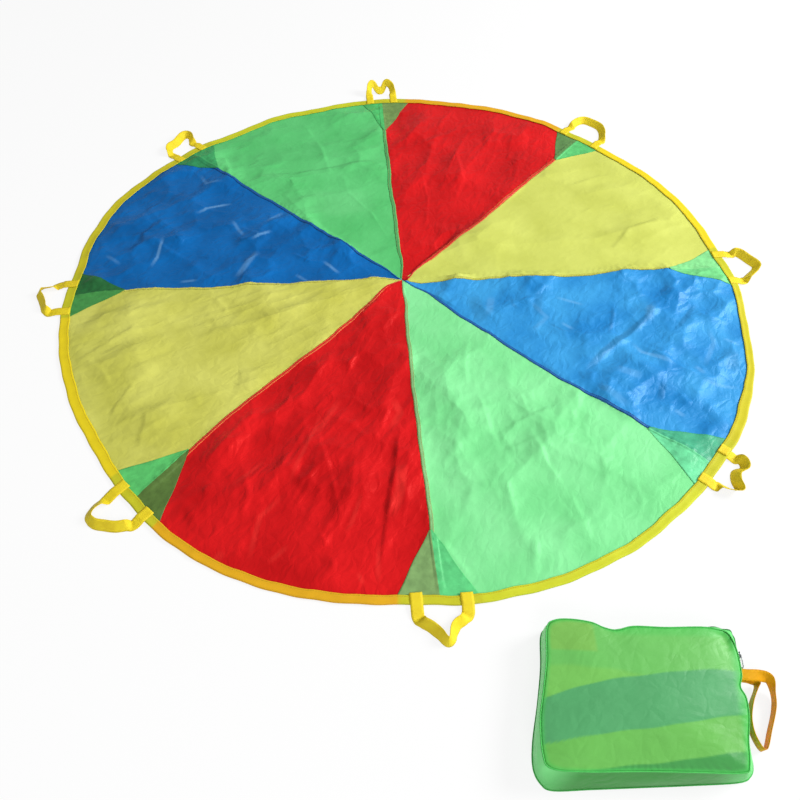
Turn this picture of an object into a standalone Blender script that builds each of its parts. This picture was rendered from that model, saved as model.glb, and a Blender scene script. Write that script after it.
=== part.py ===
# Play parachute: eight cloth gores, corner patches, a taped rim, eight webbing handles and a packed carry bag.
# Metres, +Z up. The origin is the middle of the canopy, on the floor; angles run anticlockwise from +X.

import math

import bmesh
import bpy
from mathutils import Matrix, Vector

# Canopy
CANOPY_DIAMETER = 1.8
GORE_COUNT = 8
FIRST_SEAM_DEG = 5.0
CLOTH = 0.0006
PATCH_CLOTH = 0.0005
GAP = 0.0003
HEM_CLEARANCE = 0.002
TIP_RADIUS = 0.008
PATCH_LENGTH = 0.168
PATCH_HALF_BASE = 0.083
PATCH_TIP_HALF = 0.002

# Rim tape, folded over the hem
BINDING_WIDTH = 0.024
BINDING_WALL = 0.0006
RIM_RAMP = 0.07
RIM_LEVEL_RUN = 0.006

# Webbing handles
STRAP_WIDTH = 0.025
STRAP = 0.0012
SEWN_LENGTH = 0.0235
LEG_SPACING = 0.096
LOOP_REACH = 0.064
LEG_DROP_RUN = 0.018
LEG_FLAT_RUN = 0.013

# Carry bag, lying on its back
BAG_AZIMUTH_DEG = -68.53
BAG_OFFSET = 0.2337
BAG_WIDTH = 0.345
BAG_DEPTH = 0.24
BAG_THICKNESS = 0.055
BAG_CROWN = 0.008
BAG_CORNER_RADIUS = 0.025
BAG_WALL = 0.0008
PIPING_RADIUS = 0.001
BUNDLE_CLEARANCE = 0.002

# Zip and wrist strap, on the bag's right side
ZIP_TAPE_WIDTH = 0.022
ZIP_TAPE = 0.0005
ZIP_COIL_WIDTH = 0.006
ZIP_COIL = 0.0014
SLIDER_LENGTH = 0.012
SLIDER_WIDTH = 0.009
SLIDER_HEIGHT = 0.003
SLIDER_BEVEL = 0.0008
PULL_LENGTH = 0.022
PULL_WIDTH = 0.009
PULL_WIRE = 0.0008
PULL_CLEARANCE = 0.0016
ZIP_CLEARANCE = 0.003
WRIST_WIDTH = 0.02
WRIST_STRAP = 0.001
WRIST_TAB_LENGTH = 0.01
WRIST_HEIGHT = 0.029
WRIST_REACH = 0.056
WRIST_DROP = 0.115

RIM_RADIUS = CANOPY_DIAMETER / 2
GORE_ANGLE = math.tau / GORE_COUNT
HEM_RADIUS = RIM_RADIUS - BINDING_WALL - HEM_CLEARANCE
BINDING_HEIGHT = 2 * BINDING_WALL + CLOTH + PATCH_CLOTH + 3 * GAP
STRAP_LEVEL = BINDING_HEIGHT + GAP + STRAP / 2
HINGE_LEVEL = STRAP_LEVEL + STRAP / 2 + GAP
GUSSET_LOW = 2 * PIPING_RADIUS + GAP
GUSSET_HIGH = BAG_THICKNESS - GUSSET_LOW
GUSSET_HEIGHT = GUSSET_HIGH - GUSSET_LOW

GORE_COLUMNS = 12
LAP_ROWS = 6
PATCH_COLUMNS = 4
RIM_STEPS = 80
STRAP_STEPS = 26
WRIST_STEPS = 44
BAG_SIDE_STEPS = 5
BAG_ARC_STEPS = 3
BAG_LEVELS = 3
PULL_STEPS = 20
ROLL_REACH = 3
CROWN_SHARES = (1.0, 0.88, 0.66, 0.36)
RAMP_SHARES = (0.0, 0.25, 0.5, 0.75, 1.0)
CLOSE_ENOUGH = 0.00005
NO_TURN = 0.000001

# sRGB colour, roughness and metallic value of each finish
FINISHES = {
    "yellow_cloth": ((0.85, 0.87, 0.40), 0.45, 0.0),
    "red_cloth": ((0.84, 0.14, 0.17), 0.45, 0.0),
    "green_cloth": ((0.42, 0.82, 0.50), 0.45, 0.0),
    "blue_cloth": ((0.13, 0.44, 0.76), 0.45, 0.0),
    "patch_cloth": ((0.36, 0.72, 0.42), 0.45, 0.0),
    "yellow_tape": ((0.92, 0.84, 0.20), 0.7, 0.0),
    "yellow_webbing": ((0.92, 0.83, 0.19), 0.75, 0.0),
    "bag_cloth": ((0.36, 0.78, 0.38), 0.5, 0.0),
    "bag_piping": ((0.25, 0.70, 0.33), 0.6, 0.0),
    "folded_cloth": ((0.40, 0.70, 0.48), 0.6, 0.0),
    "zip_plastic": ((0.28, 0.68, 0.34), 0.5, 0.0),
    "zip_metal": ((0.45, 0.44, 0.46), 0.35, 1.0),
    "gold_ribbon": ((0.89, 0.70, 0.23), 0.5, 0.0),
}

GORE_COLOURS = ("yellow", "red", "green", "blue", "yellow", "red", "green", "blue")
LAPPED_GORE = 5

# Each handle: the azimuth it is sewn at, and the run of its loop from leg to leg.
# A point is (along the rim, share of LEG_SPACING; outwards, share of LOOP_REACH; height, share of STRAP_WIDTH).
HANDLE_RUN_SHARES = (
    (4.0, ((0.55, 0.0, 0), (0.57, 0.24, 0), (0.57, 0.47, 0), (0.42, 0.66, 0), (0.22, 0.84, 0), (0.02, 1.0, 0),
           (-0.16, 0.85, 0), (-0.33, 0.56, 0), (-0.47, 0.31, 0), (-0.54, 0.13, 0), (-0.55, 0.0, 0))),
    (49.65, ((0.6, 0.0, 0), (0.6, 0.3, 0), (0.59, 0.75, 0), (0.45, 1.1, 0), (0.1, 1.17, 0), (-0.16, 1.1, 0),
             (-0.38, 0.8, 0), (-0.53, 0.42, 0), (-0.61, 0.2, 0), (-0.61, 0.0, 0))),
    (95.65, ((0.42, 0.0, 0), (0.42, 0.22, 0.1), (0.4, 0.55, 0.6), (0.28, 0.72, 0.8), (0.1, 0.58, 0.05),
             (-0.05, 0.6, 0.05), (-0.2, 0.76, 0.8), (-0.37, 0.6, 0.6), (-0.42, 0.22, 0.1), (-0.42, 0.0, 0))),
    (141.3, ((0.44, 0.0, 0), (0.42, 0.22, 0), (0.36, 0.5, 0), (0.2, 0.72, 0), (-0.06, 0.75, 0), (-0.34, 0.92, 0),
             (-0.56, 0.95, 0), (-0.62, 0.7, 0), (-0.5, 0.38, 0), (-0.45, 0.18, 0), (-0.44, 0.0, 0))),
    (-173.7, ((-0.5, 0.0, 0), (-0.48, 0.2, 0), (-0.4, 0.45, 0), (-0.36, 0.72, 0), (-0.2, 0.82, 0),
              (0.02, 0.66, 0), (0.24, 0.52, 0), (0.42, 0.42, 0), (0.51, 0.22, 0), (0.51, 0.0, 0))),
    (-129.3, ((-0.47, 0.0, 0), (-0.47, 0.25, 0), (-0.49, 0.6, 0), (-0.4, 0.93, 0), (-0.17, 0.97, 0),
              (0.06, 0.78, 0), (0.24, 0.6, 0), (0.36, 0.4, 0), (0.46, 0.18, 0), (0.47, 0.0, 0))),
    (-84.8, ((-0.5, 0.0, 0), (-0.49, 0.18, 0), (-0.41, 0.36, 0), (-0.27, 0.5, 0), (-0.12, 0.72, 0),
             (-0.03, 0.91, 0), (0.04, 0.99, 0), (0.12, 0.91, 0), (0.16, 0.72, 0), (0.24, 0.5, 0),
             (0.39, 0.36, 0), (0.49, 0.18, 0), (0.51, 0.0, 0))),
    (-39.9, ((0.48, 0.0, 0), (0.48, 0.2, 0), (0.49, 0.46, 0), (0.34, 0.62, 0), (0.12, 0.48, 0), (-0.1, 0.62, 0),
             (-0.27, 0.86, 0), (-0.38, 0.62, 0), (-0.43, 0.3, 0), (-0.48, 0.16, 0), (-0.48, 0.0, 0))),
)

# The bag's corners, right near, right far, left far, left near: shares of BAG_WIDTH and BAG_DEPTH.
BAG_FLOOR_SHARES = ((0.487, -0.5), (0.556, 0.4875), (-0.426, 0.533), (-0.536, -0.57))
BAG_TOP_SHARES = ((0.487, -0.4875), (0.556, 0.4875), (-0.415, 0.521), (-0.519, -0.479))
# A strap starts to stand on edge where it turns tighter than the first share of its width,
# and stands steep enough to clear itself where its room is under the second.
STRAP_TURN_SHARE = 1.7
STRAP_ROOM_SHARE = 0.7

# Height of the zip on the gusset, place of the wrist strap along the right side, end of the zip along the far side.
ZIP_LEVEL_SHARE = 0.5
WRIST_SHARE = 0.75
ZIP_END_SHARE = 0.9

# The wrist loop from its seam and back: outwards, share of WRIST_REACH; along the side, share of WRIST_DROP;
# height of its middle, share of WRIST_HEIGHT; turn from flat, share of a quarter turn.
WRIST_RUN_SHARES = (
    (0.0, 0.0, 1.0, 0.0), (0.21, 0.0, 1.04, 0.0), (0.56, 0.01, 1.05, 0.12), (0.86, -0.02, 0.95, 0.6),
    (1.0, -0.17, 0.5, 1.0), (0.97, -0.39, 0.35, 1.0), (0.7, -0.72, 0.35, 1.0), (0.43, -1.0, 0.35, 1.0),
    (0.2, -0.84, 0.35, 1.0), (0.16, -0.61, 0.35, 1.0), (0.3, -0.36, 0.35, 1.0), (0.5, -0.16, 0.4, 1.0),
    (0.57, -0.07, 0.46, 1.15), (0.46, -0.03, 0.6, 1.5), (0.27, -0.025, 0.8, 1.85), (0.12, -0.025, 0.88, 2.0),
    (0.0, -0.025, 0.9, 2.0),
)


def polar(radius, angle, height=0.0):
    return Vector((radius * math.cos(angle), radius * math.sin(angle), height))


def smooth(share):
    share = min(max(share, 0.0), 1.0)
    return share * share * (3 - 2 * share)


def finish_material(name):
    found = bpy.data.materials.get(name)
    if found:
        return found
    colour, roughness, metallic = FINISHES[name]
    made = bpy.data.materials.new(name)
    made.use_nodes = True
    shader = made.node_tree.nodes["Principled BSDF"]
    linear = [c / 12.92 if c <= 0.04045 else ((c + 0.055) / 1.055) ** 2.4 for c in colour]
    shader.inputs["Base Color"].default_value = (*linear, 1.0)
    shader.inputs["Roughness"].default_value = roughness
    shader.inputs["Metallic"].default_value = metallic
    made.diffuse_color = (*linear, 1.0)
    return made


def add_object(name, mesh, finish, place=None, turn=0.0):
    made = bpy.data.objects.new(name, mesh)
    bpy.data.collections["play_parachute"].objects.link(made)
    if mesh.materials:
        mesh.materials[0] = finish_material(finish)
    else:
        mesh.materials.append(finish_material(finish))
    made.location = place if place is not None else Vector()
    made.rotation_euler = (0, 0, turn)
    return made


def mesh_from(bm, name):
    bmesh.ops.recalc_face_normals(bm, faces=bm.faces)
    mesh = bpy.data.meshes.new(name)
    bm.to_mesh(mesh)
    bm.free()
    return mesh


def sheet(name, rows, columns, point, thickness, finish):
    """A flat grid whose cell corners go to point(row, column), given its thickness upwards."""
    bm = bmesh.new()
    bmesh.ops.create_grid(bm, x_segments=rows, y_segments=columns, size=1)
    for vert in bm.verts:
        row = round((vert.co.x + 1) / 2 * rows)
        column = round((vert.co.y + 1) / 2 * columns)
        vert.co = point(row, column)
    mesh = bpy.data.meshes.new(name)
    bm.to_mesh(mesh)
    bm.free()
    made = add_object(name, mesh, finish)
    solid = made.modifiers.new("cloth thickness", "SOLIDIFY")
    solid.thickness = thickness
    solid.offset = 1
    return made


def loft(name, loops, finish, place=None, turn=0.0, wrap=False):
    """A closed body through unlike loops of equally many points, capped or joined end to end."""
    bm = bmesh.new()
    rings = [[bm.verts.new(point) for point in loop] for loop in loops]
    pairs = list(zip(rings, rings[1:]))
    if wrap:
        pairs.append((rings[-1], rings[0]))
    for low, high in pairs:
        for i in range(len(low)):
            after = (i + 1) % len(low)
            bm.faces.new((low[i], low[after], high[after], high[i]))
    if not wrap:
        bm.faces.new(rings[0])
        bm.faces.new(rings[-1])
    return add_object(name, mesh_from(bm, name), finish, place, turn)


def cloth_level(radius):
    """Height of the cloth's underside: on the floor, then up into the tape."""
    start = HEM_RADIUS - RIM_RAMP
    end = RIM_RADIUS - BINDING_WIDTH - RIM_LEVEL_RUN
    return (BINDING_WALL + GAP) * smooth((radius - start) / (end - start))


def rim_rows(first):
    """Radii that the gores and patches share, from first to the hem."""
    ramp_start = HEM_RADIUS - RIM_RAMP
    ramp_end = RIM_RADIUS - BINDING_WIDTH - RIM_LEVEL_RUN
    ramp = [ramp_start + (ramp_end - ramp_start) * share for share in RAMP_SHARES]
    return [first] + [radius for radius in ramp if radius > first] + [HEM_RADIUS]


def lap_point(row, across, middle):
    """A point of the lapped tip: chords of a small disc over the canopy's middle."""
    reach = TIP_RADIUS - GAP
    last = math.pi - GORE_ANGLE / 2 + GAP / reach
    first = last / (LAP_ROWS + 1)
    turn = first + (last - first) * row / (LAP_ROWS - 1)
    axis = polar(1, middle)
    return (axis * -math.cos(turn) + Vector((-axis.y, axis.x, 0)) * across * math.sin(turn)) * reach


def make_gore(number, colour):
    middle = math.radians(FIRST_SEAM_DEG) + (number + 0.5) * GORE_ANGLE
    lap = LAP_ROWS if number == LAPPED_GORE else 0
    radii = rim_rows(TIP_RADIUS + GAP if lap else TIP_RADIUS)

    def point(row, column):
        across = 2 * column / GORE_COLUMNS - 1
        if row < lap:
            return lap_point(row, across, middle)
        radius = radii[row - lap]
        half = GORE_ANGLE / 2 - math.asin(GAP / 2 / radius)
        return polar(radius, middle + across * half, cloth_level(radius))

    name = f"gore_{number + 1}_{colour}"
    sheet(name, len(radii) - 1 + lap, GORE_COLUMNS, point, CLOTH, f"{colour}_cloth")


def make_patch(number):
    seam = math.radians(FIRST_SEAM_DEG) + number * GORE_ANGLE
    apex = RIM_RADIUS - PATCH_LENGTH
    radii = rim_rows(apex)

    def point(row, column):
        radius = radii[row]
        grown = (radius - apex) / (HEM_RADIUS - apex)
        half = PATCH_TIP_HALF + (PATCH_HALF_BASE - PATCH_TIP_HALF) * grown
        across = (2 * column / PATCH_COLUMNS - 1) * half
        return polar(radius, seam + math.asin(across / radius), cloth_level(radius) + CLOTH + GAP)

    sheet(f"corner_patch_{number + 1}", len(radii) - 1, PATCH_COLUMNS, point, PATCH_CLOTH, "patch_cloth")


def make_binding():
    """The rim tape: a U section, open inwards, turned about the middle."""
    inner = RIM_RADIUS - BINDING_WIDTH
    wall = BINDING_WALL
    profile = ((RIM_RADIUS, BINDING_HEIGHT), (RIM_RADIUS, 0), (inner, 0), (inner, wall),
               (RIM_RADIUS - wall, wall), (RIM_RADIUS - wall, BINDING_HEIGHT - wall),
               (inner, BINDING_HEIGHT - wall), (inner, BINDING_HEIGHT))
    mesh = bpy.data.meshes.new("rim_binding")
    turned = Matrix.Rotation(math.radians(FIRST_SEAM_DEG), 3, "Z")
    points = [turned @ Vector((radius, 0, height)) for radius, height in profile]
    mesh.from_pydata(points, [(i, (i + 1) % len(points)) for i in range(len(points))], [])
    ring = add_object("rim_binding", mesh, "yellow_tape")
    screw = ring.modifiers.new("turn", "SCREW")
    screw.steps = RIM_STEPS
    screw.render_steps = RIM_STEPS
    screw.use_merge_vertices = True
    screw.merge_threshold = CLOSE_ENOUGH


def smooth_run(points, count):
    """Evenly spaced points on a smooth curve through the given points."""
    ends = [2 * points[0] - points[1]] + list(points) + [2 * points[-1] - points[-2]]
    fine = []
    for i in range(1, len(ends) - 2):
        a, b, c, d = ends[i - 1:i + 3]
        for step in range(count):
            s = step / count
            fine.append(0.5 * (2 * b + (c - a) * s + (2 * a - 5 * b + 4 * c - d) * s * s
                               + (3 * b - a - 3 * c + d) * s ** 3))
    fine.append(ends[-2])
    lengths = [0.0]
    for before, after in zip(fine, fine[1:]):
        lengths.append(lengths[-1] + (after - before).xyz.length)
    even = []
    seat = 0
    for step in range(count + 1):
        wanted = lengths[-1] * step / count
        while seat < len(fine) - 2 and lengths[seat + 1] < wanted:
            seat += 1
        share = (wanted - lengths[seat]) / (lengths[seat + 1] - lengths[seat])
        even.append(fine[seat].lerp(fine[seat + 1], share))
    return even, lengths[-1]


def plan_directions(run, first, last):
    """Level unit directions along a run; its ends point the given way."""
    found = [first]
    for before, after in zip(run, run[2:]):
        step = after - before
        found.append(Vector((step.x, step.y, 0)).normalized())
    return found + [last]


def averaged(values, reach):
    """Each value as the mean of its neighbours within reach, the ends kept."""
    found = []
    for i in range(len(values)):
        near = min(reach, i, len(values) - 1 - i)
        window = values[i - near:i + near + 1]
        found.append(sum(window) / len(window))
    return found


def beside(run, seat, step, width):
    """How close a strap comes back beside a point of its own run."""
    far = [(run[i] - run[seat]).xy.length for i in range(len(run)) if abs(i - seat) * step > width]
    return min(far, default=math.inf)


def turning_rolls(run, ways, width, length):
    """How far a strap stands on edge: flat where it runs straight, upright where it turns tight or doubles back."""
    rolls = []
    least = []
    for i in range(len(run)):
        before = ways[max(i - 1, 0)]
        after = ways[min(i + 1, len(ways) - 1)]
        span = (run[min(i + 1, len(run) - 1)] - run[max(i - 1, 0)]).length
        turn = before.angle(after, 0.0)
        radius = span / turn if turn > NO_TURN else math.inf
        rolls.append(math.acos(min(1.0, radius / (width * STRAP_TURN_SHARE))))
        room = min(radius, beside(run, i, length / (len(run) - 1), width) / 2)
        least.append(math.acos(min(1.0, room / (width * STRAP_ROOM_SHARE))))
    return [max(roll, need) for roll, need in zip(averaged(rolls, ROLL_REACH), averaged(least, 1))]


def strap_sections(run, ways, rolls, width, thickness):
    """Corner points of a flat strap's section at each point of its run."""
    loops = []
    for centre, way, roll in zip(run, ways, rolls):
        side = Vector((-way.y, way.x, 0))
        wide = (side * math.cos(roll) + Vector((0, 0, math.sin(roll)))) * width / 2
        thick = way.cross(wide).normalized() * thickness / 2
        loops.append([centre + wide + thick, centre - wide + thick, centre - wide - thick, centre + wide - thick])
    return loops


def loop_height(out, roll, lift):
    """Height of a handle strap's middle: over the tape at the rim, then down to rest on the floor."""
    on_floor = (STRAP_WIDTH * math.sin(roll) + STRAP * math.cos(roll)) / 2
    coming_down = STRAP_LEVEL + (STRAP / 2 - STRAP_LEVEL) * smooth((out - GAP) / LEG_DROP_RUN)
    return max(on_floor, coming_down) + max(lift, 0.0)


def make_handle(number, azimuth_deg, run_shares):
    azimuth = math.radians(azimuth_deg)
    hinge = polar(RIM_RADIUS, azimuth, HINGE_LEVEL)
    points = [Vector((GAP + out * LOOP_REACH, along * LEG_SPACING, lift * STRAP_WIDTH))
              for along, out, lift in run_shares]
    run, length = smooth_run(points, STRAP_STEPS)
    outwards = Vector((1, 0, 0))
    ways = plan_directions(run, outwards, -outwards)
    rolls = turning_rolls(run, ways, STRAP_WIDTH, length)
    along = [length * i / STRAP_STEPS for i in range(STRAP_STEPS + 1)]
    rolls = [roll * smooth((min(gone, length - gone) - LEG_FLAT_RUN) / LEG_FLAT_RUN)
             for roll, gone in zip(rolls, along)]
    run = [Vector((point.x, point.y, loop_height(point.x, roll, point.z) - HINGE_LEVEL))
           for point, roll in zip(run, rolls)]
    loops = strap_sections(run, ways, rolls, STRAP_WIDTH, STRAP)
    loft(f"handle_loop_{number}", loops, "yellow_webbing", hinge, azimuth)
    print(f"handle {number}: free strap {length:.4f} m")
    for letter, leg in (("a", run_shares[0][0]), ("b", run_shares[-1][0])):
        make_sewn_end(f"handle_sewn_end_{number}{letter}", azimuth, leg * LEG_SPACING)


def box(name, size, finish, place, turn=0.0, bevel=0.0):
    bm = bmesh.new()
    bmesh.ops.create_cube(bm, size=1, matrix=Matrix.Diagonal((*size, 1)))
    if bevel:
        bmesh.ops.bevel(bm, geom=bm.edges[:], offset=bevel, segments=2, profile=0.5, affect="EDGES")
    return add_object(name, mesh_from(bm, name), finish, place, turn)


def make_sewn_end(name, azimuth, across):
    """A strap's end, stitched flat on top of the rim tape."""
    out = RIM_RADIUS - GAP - SEWN_LENGTH / 2
    turned = Matrix.Rotation(azimuth, 3, "Z")
    place = turned @ Vector((out, across, STRAP_LEVEL))
    box(name, (SEWN_LENGTH, STRAP_WIDTH, STRAP), "yellow_webbing", place, azimuth)


def bag_place():
    return polar(RIM_RADIUS + BAG_OFFSET, math.radians(BAG_AZIMUTH_DEG))


def bag_corners(level):
    """The bag's four corners at a share of its height."""
    found = []
    for floor, top in zip(BAG_FLOOR_SHARES, BAG_TOP_SHARES):
        x = floor[0] + (top[0] - floor[0]) * level
        y = floor[1] + (top[1] - floor[1]) * level
        found.append(Vector((x * BAG_WIDTH, y * BAG_DEPTH, 0)))
    return found


def bag_sides(level, inset):
    """For each corner of the bag's outline its arc, with round corners and pulled in by inset."""
    corners = bag_corners(level)
    arcs = []
    for i, corner in enumerate(corners):
        into = (corner - corners[i - 1]).normalized()
        away = (corners[(i + 1) % len(corners)] - corner).normalized()
        into_side = Vector((into.y, -into.x, 0))
        away_side = Vector((away.y, -away.x, 0))
        bisector = (into_side + away_side).normalized()
        centre = corner - bisector * BAG_CORNER_RADIUS / bisector.dot(into_side)
        arc = []
        for step in range(BAG_ARC_STEPS + 1):
            side = into_side.slerp(away_side, step / BAG_ARC_STEPS)
            arc.append(centre + side * (BAG_CORNER_RADIUS - inset))
        arcs.append(arc)
    return arcs


def bag_loop(level, inset, height):
    """The bag's outline at a share of its height, as one loop at the given height."""
    arcs = bag_sides(level, inset)
    loop = []
    for i, arc in enumerate(arcs):
        loop.extend(arc)
        start = arc[-1]
        end = arcs[(i + 1) % len(arcs)][0]
        loop.extend(start.lerp(end, step / BAG_SIDE_STEPS) for step in range(1, BAG_SIDE_STEPS))
    return [Vector((point.x, point.y, height)) for point in loop]


def crown_loops(inset, height):
    """Loops that close over the bag's outline to its middle, rising to the crown."""
    edge = bag_loop(1, inset, height)
    middle = sum(edge, Vector()) / len(edge)
    loops = []
    for share in CROWN_SHARES:
        rise = Vector((0, 0, BAG_CROWN * (1 - share * share)))
        loops.append([middle.lerp(point, share) + rise for point in edge])
    return loops


def tube_ring(name, loop, radius, finish, place, turn=0.0):
    curve = bpy.data.curves.new(name, "CURVE")
    curve.dimensions = "3D"
    curve.bevel_depth = radius
    curve.bevel_resolution = 1
    curve.use_fill_caps = False
    spline = curve.splines.new("POLY")
    spline.points.add(len(loop) - 1)
    for seat, point in zip(spline.points, loop):
        seat.co = (*point, 1)
    spline.use_cyclic_u = True
    return add_object(name, curve, finish, place, turn)


def make_bag():
    place = bag_place()
    seam = PIPING_RADIUS + GAP
    levels = [step / BAG_LEVELS for step in range(BAG_LEVELS + 1)]
    heights = [GUSSET_LOW + GUSSET_HEIGHT * level for level in levels]

    back = [bag_loop(0, seam, 0), bag_loop(0, seam, BAG_WALL)]
    loft("bag_back_panel", back, "bag_cloth", place)
    outside = [bag_loop(level, 0, height) for level, height in zip(levels, heights)]
    inside = [bag_loop(level, BAG_WALL, height) for level, height in zip(levels, heights)]
    loft("bag_gusset", outside + inside[::-1], "bag_cloth", place, wrap=True)
    front_level = BAG_THICKNESS - PIPING_RADIUS
    over = crown_loops(seam, front_level + BAG_WALL / 2)
    under = crown_loops(seam, front_level - BAG_WALL / 2)
    loft("bag_front_panel", over[::-1] + under, "bag_cloth", place)
    tube_ring("bag_back_piping", bag_loop(0, 0, PIPING_RADIUS), PIPING_RADIUS, "bag_piping", place)
    tube_ring("bag_front_piping", bag_loop(1, 0, front_level), PIPING_RADIUS, "bag_piping", place)

    clear = BAG_WALL + BUNDLE_CLEARANCE
    floor = bag_loop(0, seam + clear, BAG_WALL + GAP)
    body = [bag_loop(level, clear, height) for level, height in zip(levels, heights)]
    top = crown_loops(seam + clear, front_level - BAG_WALL / 2 - GAP)
    loft("folded_parachute", [floor] + body + top, "folded_cloth", place)


def side_point(past, off, level):
    """A point on the bag's right side: a length past the wrist strap, off the gusset, at a share of its height."""
    arcs = bag_sides(level, -off)
    near = arcs[0][-1]
    far = arcs[1][0]
    point = near.lerp(far, WRIST_SHARE) + (far - near).normalized() * past
    point.z = GUSSET_LOW + GUSSET_HEIGHT * level
    return point


def side_turn():
    """Angle of the bag's right side, from its near end to its far end."""
    arcs = bag_sides(ZIP_LEVEL_SHARE, 0)
    along = arcs[1][0] - arcs[0][-1]
    return math.atan2(along.y, along.x)


def zip_loops(width, near, far):
    """Sections of a band that lies along the zip, between two distances off the gusset."""
    half = width / 2 / GUSSET_HEIGHT
    edges = ((ZIP_LEVEL_SHARE - half, near), (ZIP_LEVEL_SHARE - half, far),
             (ZIP_LEVEL_SHARE + half, far), (ZIP_LEVEL_SHARE + half, near))
    paths = []
    for level, off in edges:
        arcs = bag_sides(level, -off)
        start = side_point(WRIST_WIDTH / 2 + ZIP_CLEARANCE, off, level)
        end = arcs[1][-1].lerp(arcs[2][0], ZIP_END_SHARE)
        side = [arcs[1][-1].lerp(end, step / BAG_SIDE_STEPS) for step in range(1, BAG_SIDE_STEPS + 1)]
        paths.append([Vector((p.x, p.y, start.z)) for p in [start] + arcs[1] + side])
    return [list(section) for section in zip(*paths)]


def make_zip():
    place = bag_place()
    tape_near = GAP
    tape_far = tape_near + ZIP_TAPE
    coil_near = tape_far + GAP
    coil_far = coil_near + ZIP_COIL
    loft("zip_tape", zip_loops(ZIP_TAPE_WIDTH, tape_near, tape_far), "zip_plastic", place)
    loft("zip_coil", zip_loops(ZIP_COIL_WIDTH, coil_near, coil_far), "zip_plastic", place)

    off = coil_far + GAP + SLIDER_HEIGHT / 2
    past = WRIST_WIDTH / 2 + PULL_CLEARANCE + PULL_LENGTH
    slider_at = place + side_point(past, off, ZIP_LEVEL_SHARE)
    size = (SLIDER_LENGTH, SLIDER_HEIGHT, SLIDER_WIDTH)
    box("zip_slider", size, "zip_metal", slider_at, side_turn(), SLIDER_BEVEL)

    pull_off = off + SLIDER_HEIGHT / 2 + GAP + PULL_WIRE
    pull_at = place + side_point(past, pull_off, ZIP_LEVEL_SHARE)
    half_run = PULL_LENGTH / 2 - PULL_WIDTH / 2
    ring = []
    for step in range(PULL_STEPS):
        angle = math.tau * step / PULL_STEPS
        end = half_run if math.cos(angle) > 0 else -half_run
        x = end + PULL_WIDTH / 2 * math.cos(angle) - half_run - PULL_WIDTH / 2
        ring.append(Vector((x, 0, PULL_WIDTH / 2 * math.sin(angle))))
    tube_ring("zip_pull", ring, PULL_WIRE, "zip_metal", pull_at, side_turn())
    print("slider at", tuple(slider_at), "pull hinge at", tuple(pull_at), "side turn", side_turn())


def make_wrist_strap():
    place = bag_place()
    root_off = GAP + 2 * WRIST_STRAP + GAP
    turn = side_turn() - math.pi / 2
    tab_at = place + side_point(0, GAP + WRIST_STRAP, ZIP_LEVEL_SHARE)
    tab_at.z = WRIST_HEIGHT - WRIST_TAB_LENGTH / 2
    box("wrist_strap_sewn_end", (2 * WRIST_STRAP, WRIST_WIDTH, WRIST_TAB_LENGTH), "gold_ribbon", tab_at, turn)

    root = place + side_point(0, root_off, ZIP_LEVEL_SHARE)
    root.z = WRIST_HEIGHT
    points = []
    for out, along, height, roll in WRIST_RUN_SHARES:
        points.append(Vector((out * WRIST_REACH, along * WRIST_DROP, height * WRIST_HEIGHT, roll)))
    run, length = smooth_run(points, WRIST_STEPS)
    rolls = [math.pi / 2 * point.w for point in run]
    spots = []
    for point, roll in zip(run, rolls):
        resting = (WRIST_WIDTH * math.sin(roll) + WRIST_STRAP * abs(math.cos(roll))) / 2
        spots.append(Vector((point.x, point.y, max(point.z, resting) - WRIST_HEIGHT)))
    outwards = Vector((1, 0, 0))
    ways = plan_directions(spots, outwards, -outwards)
    loops = strap_sections(spots, ways, rolls, WRIST_WIDTH, WRIST_STRAP)
    loft("wrist_strap", loops, "gold_ribbon", root, turn)
    print(f"wrist strap {length:.4f} m, hinge at", tuple(root), "turn", turn)


def main():
    for old in list(bpy.data.objects):
        bpy.data.objects.remove(old, do_unlink=True)
    group = bpy.data.collections.new("play_parachute")
    bpy.context.scene.collection.children.link(group)
    for number, colour in enumerate(GORE_COLOURS):
        make_gore(number, colour)
        make_patch(number)
    make_binding()
    for number, (azimuth_deg, run_shares) in enumerate(HANDLE_RUN_SHARES, 1):
        make_handle(number, azimuth_deg, run_shares)
    make_bag()
    make_zip()
    make_wrist_strap()


main()
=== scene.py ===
import math

import bmesh
import bpy
import numpy as np
from mathutils import Matrix, Vector


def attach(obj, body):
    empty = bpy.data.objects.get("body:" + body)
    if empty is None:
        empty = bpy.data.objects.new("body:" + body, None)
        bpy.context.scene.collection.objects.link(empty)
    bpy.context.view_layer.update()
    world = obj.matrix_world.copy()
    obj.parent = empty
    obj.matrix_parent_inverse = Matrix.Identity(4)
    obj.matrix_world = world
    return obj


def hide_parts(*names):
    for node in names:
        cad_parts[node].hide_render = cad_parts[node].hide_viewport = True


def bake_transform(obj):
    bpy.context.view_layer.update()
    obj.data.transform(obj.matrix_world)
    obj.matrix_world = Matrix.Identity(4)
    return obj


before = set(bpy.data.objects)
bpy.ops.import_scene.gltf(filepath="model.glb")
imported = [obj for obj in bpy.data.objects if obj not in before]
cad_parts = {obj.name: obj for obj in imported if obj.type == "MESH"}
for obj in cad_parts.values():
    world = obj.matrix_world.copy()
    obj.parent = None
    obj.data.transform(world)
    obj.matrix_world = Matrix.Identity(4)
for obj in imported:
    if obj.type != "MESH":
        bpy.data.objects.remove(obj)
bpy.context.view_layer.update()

print("frame loaded:", len(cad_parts), "nodes")


# Small helpers

def linearColour(hexCode):
    parts = [int(hexCode[i:i + 2], 16) / 255 for i in (1, 3, 5)]
    return tuple(c / 12.92 if c <= 0.04045 else ((c + 0.055) / 1.055) ** 2.4 for c in parts) + (1.0,)


def mixColours(first, second, share):
    return tuple(a + (b - a) * share for a, b in zip(first, second))


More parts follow.
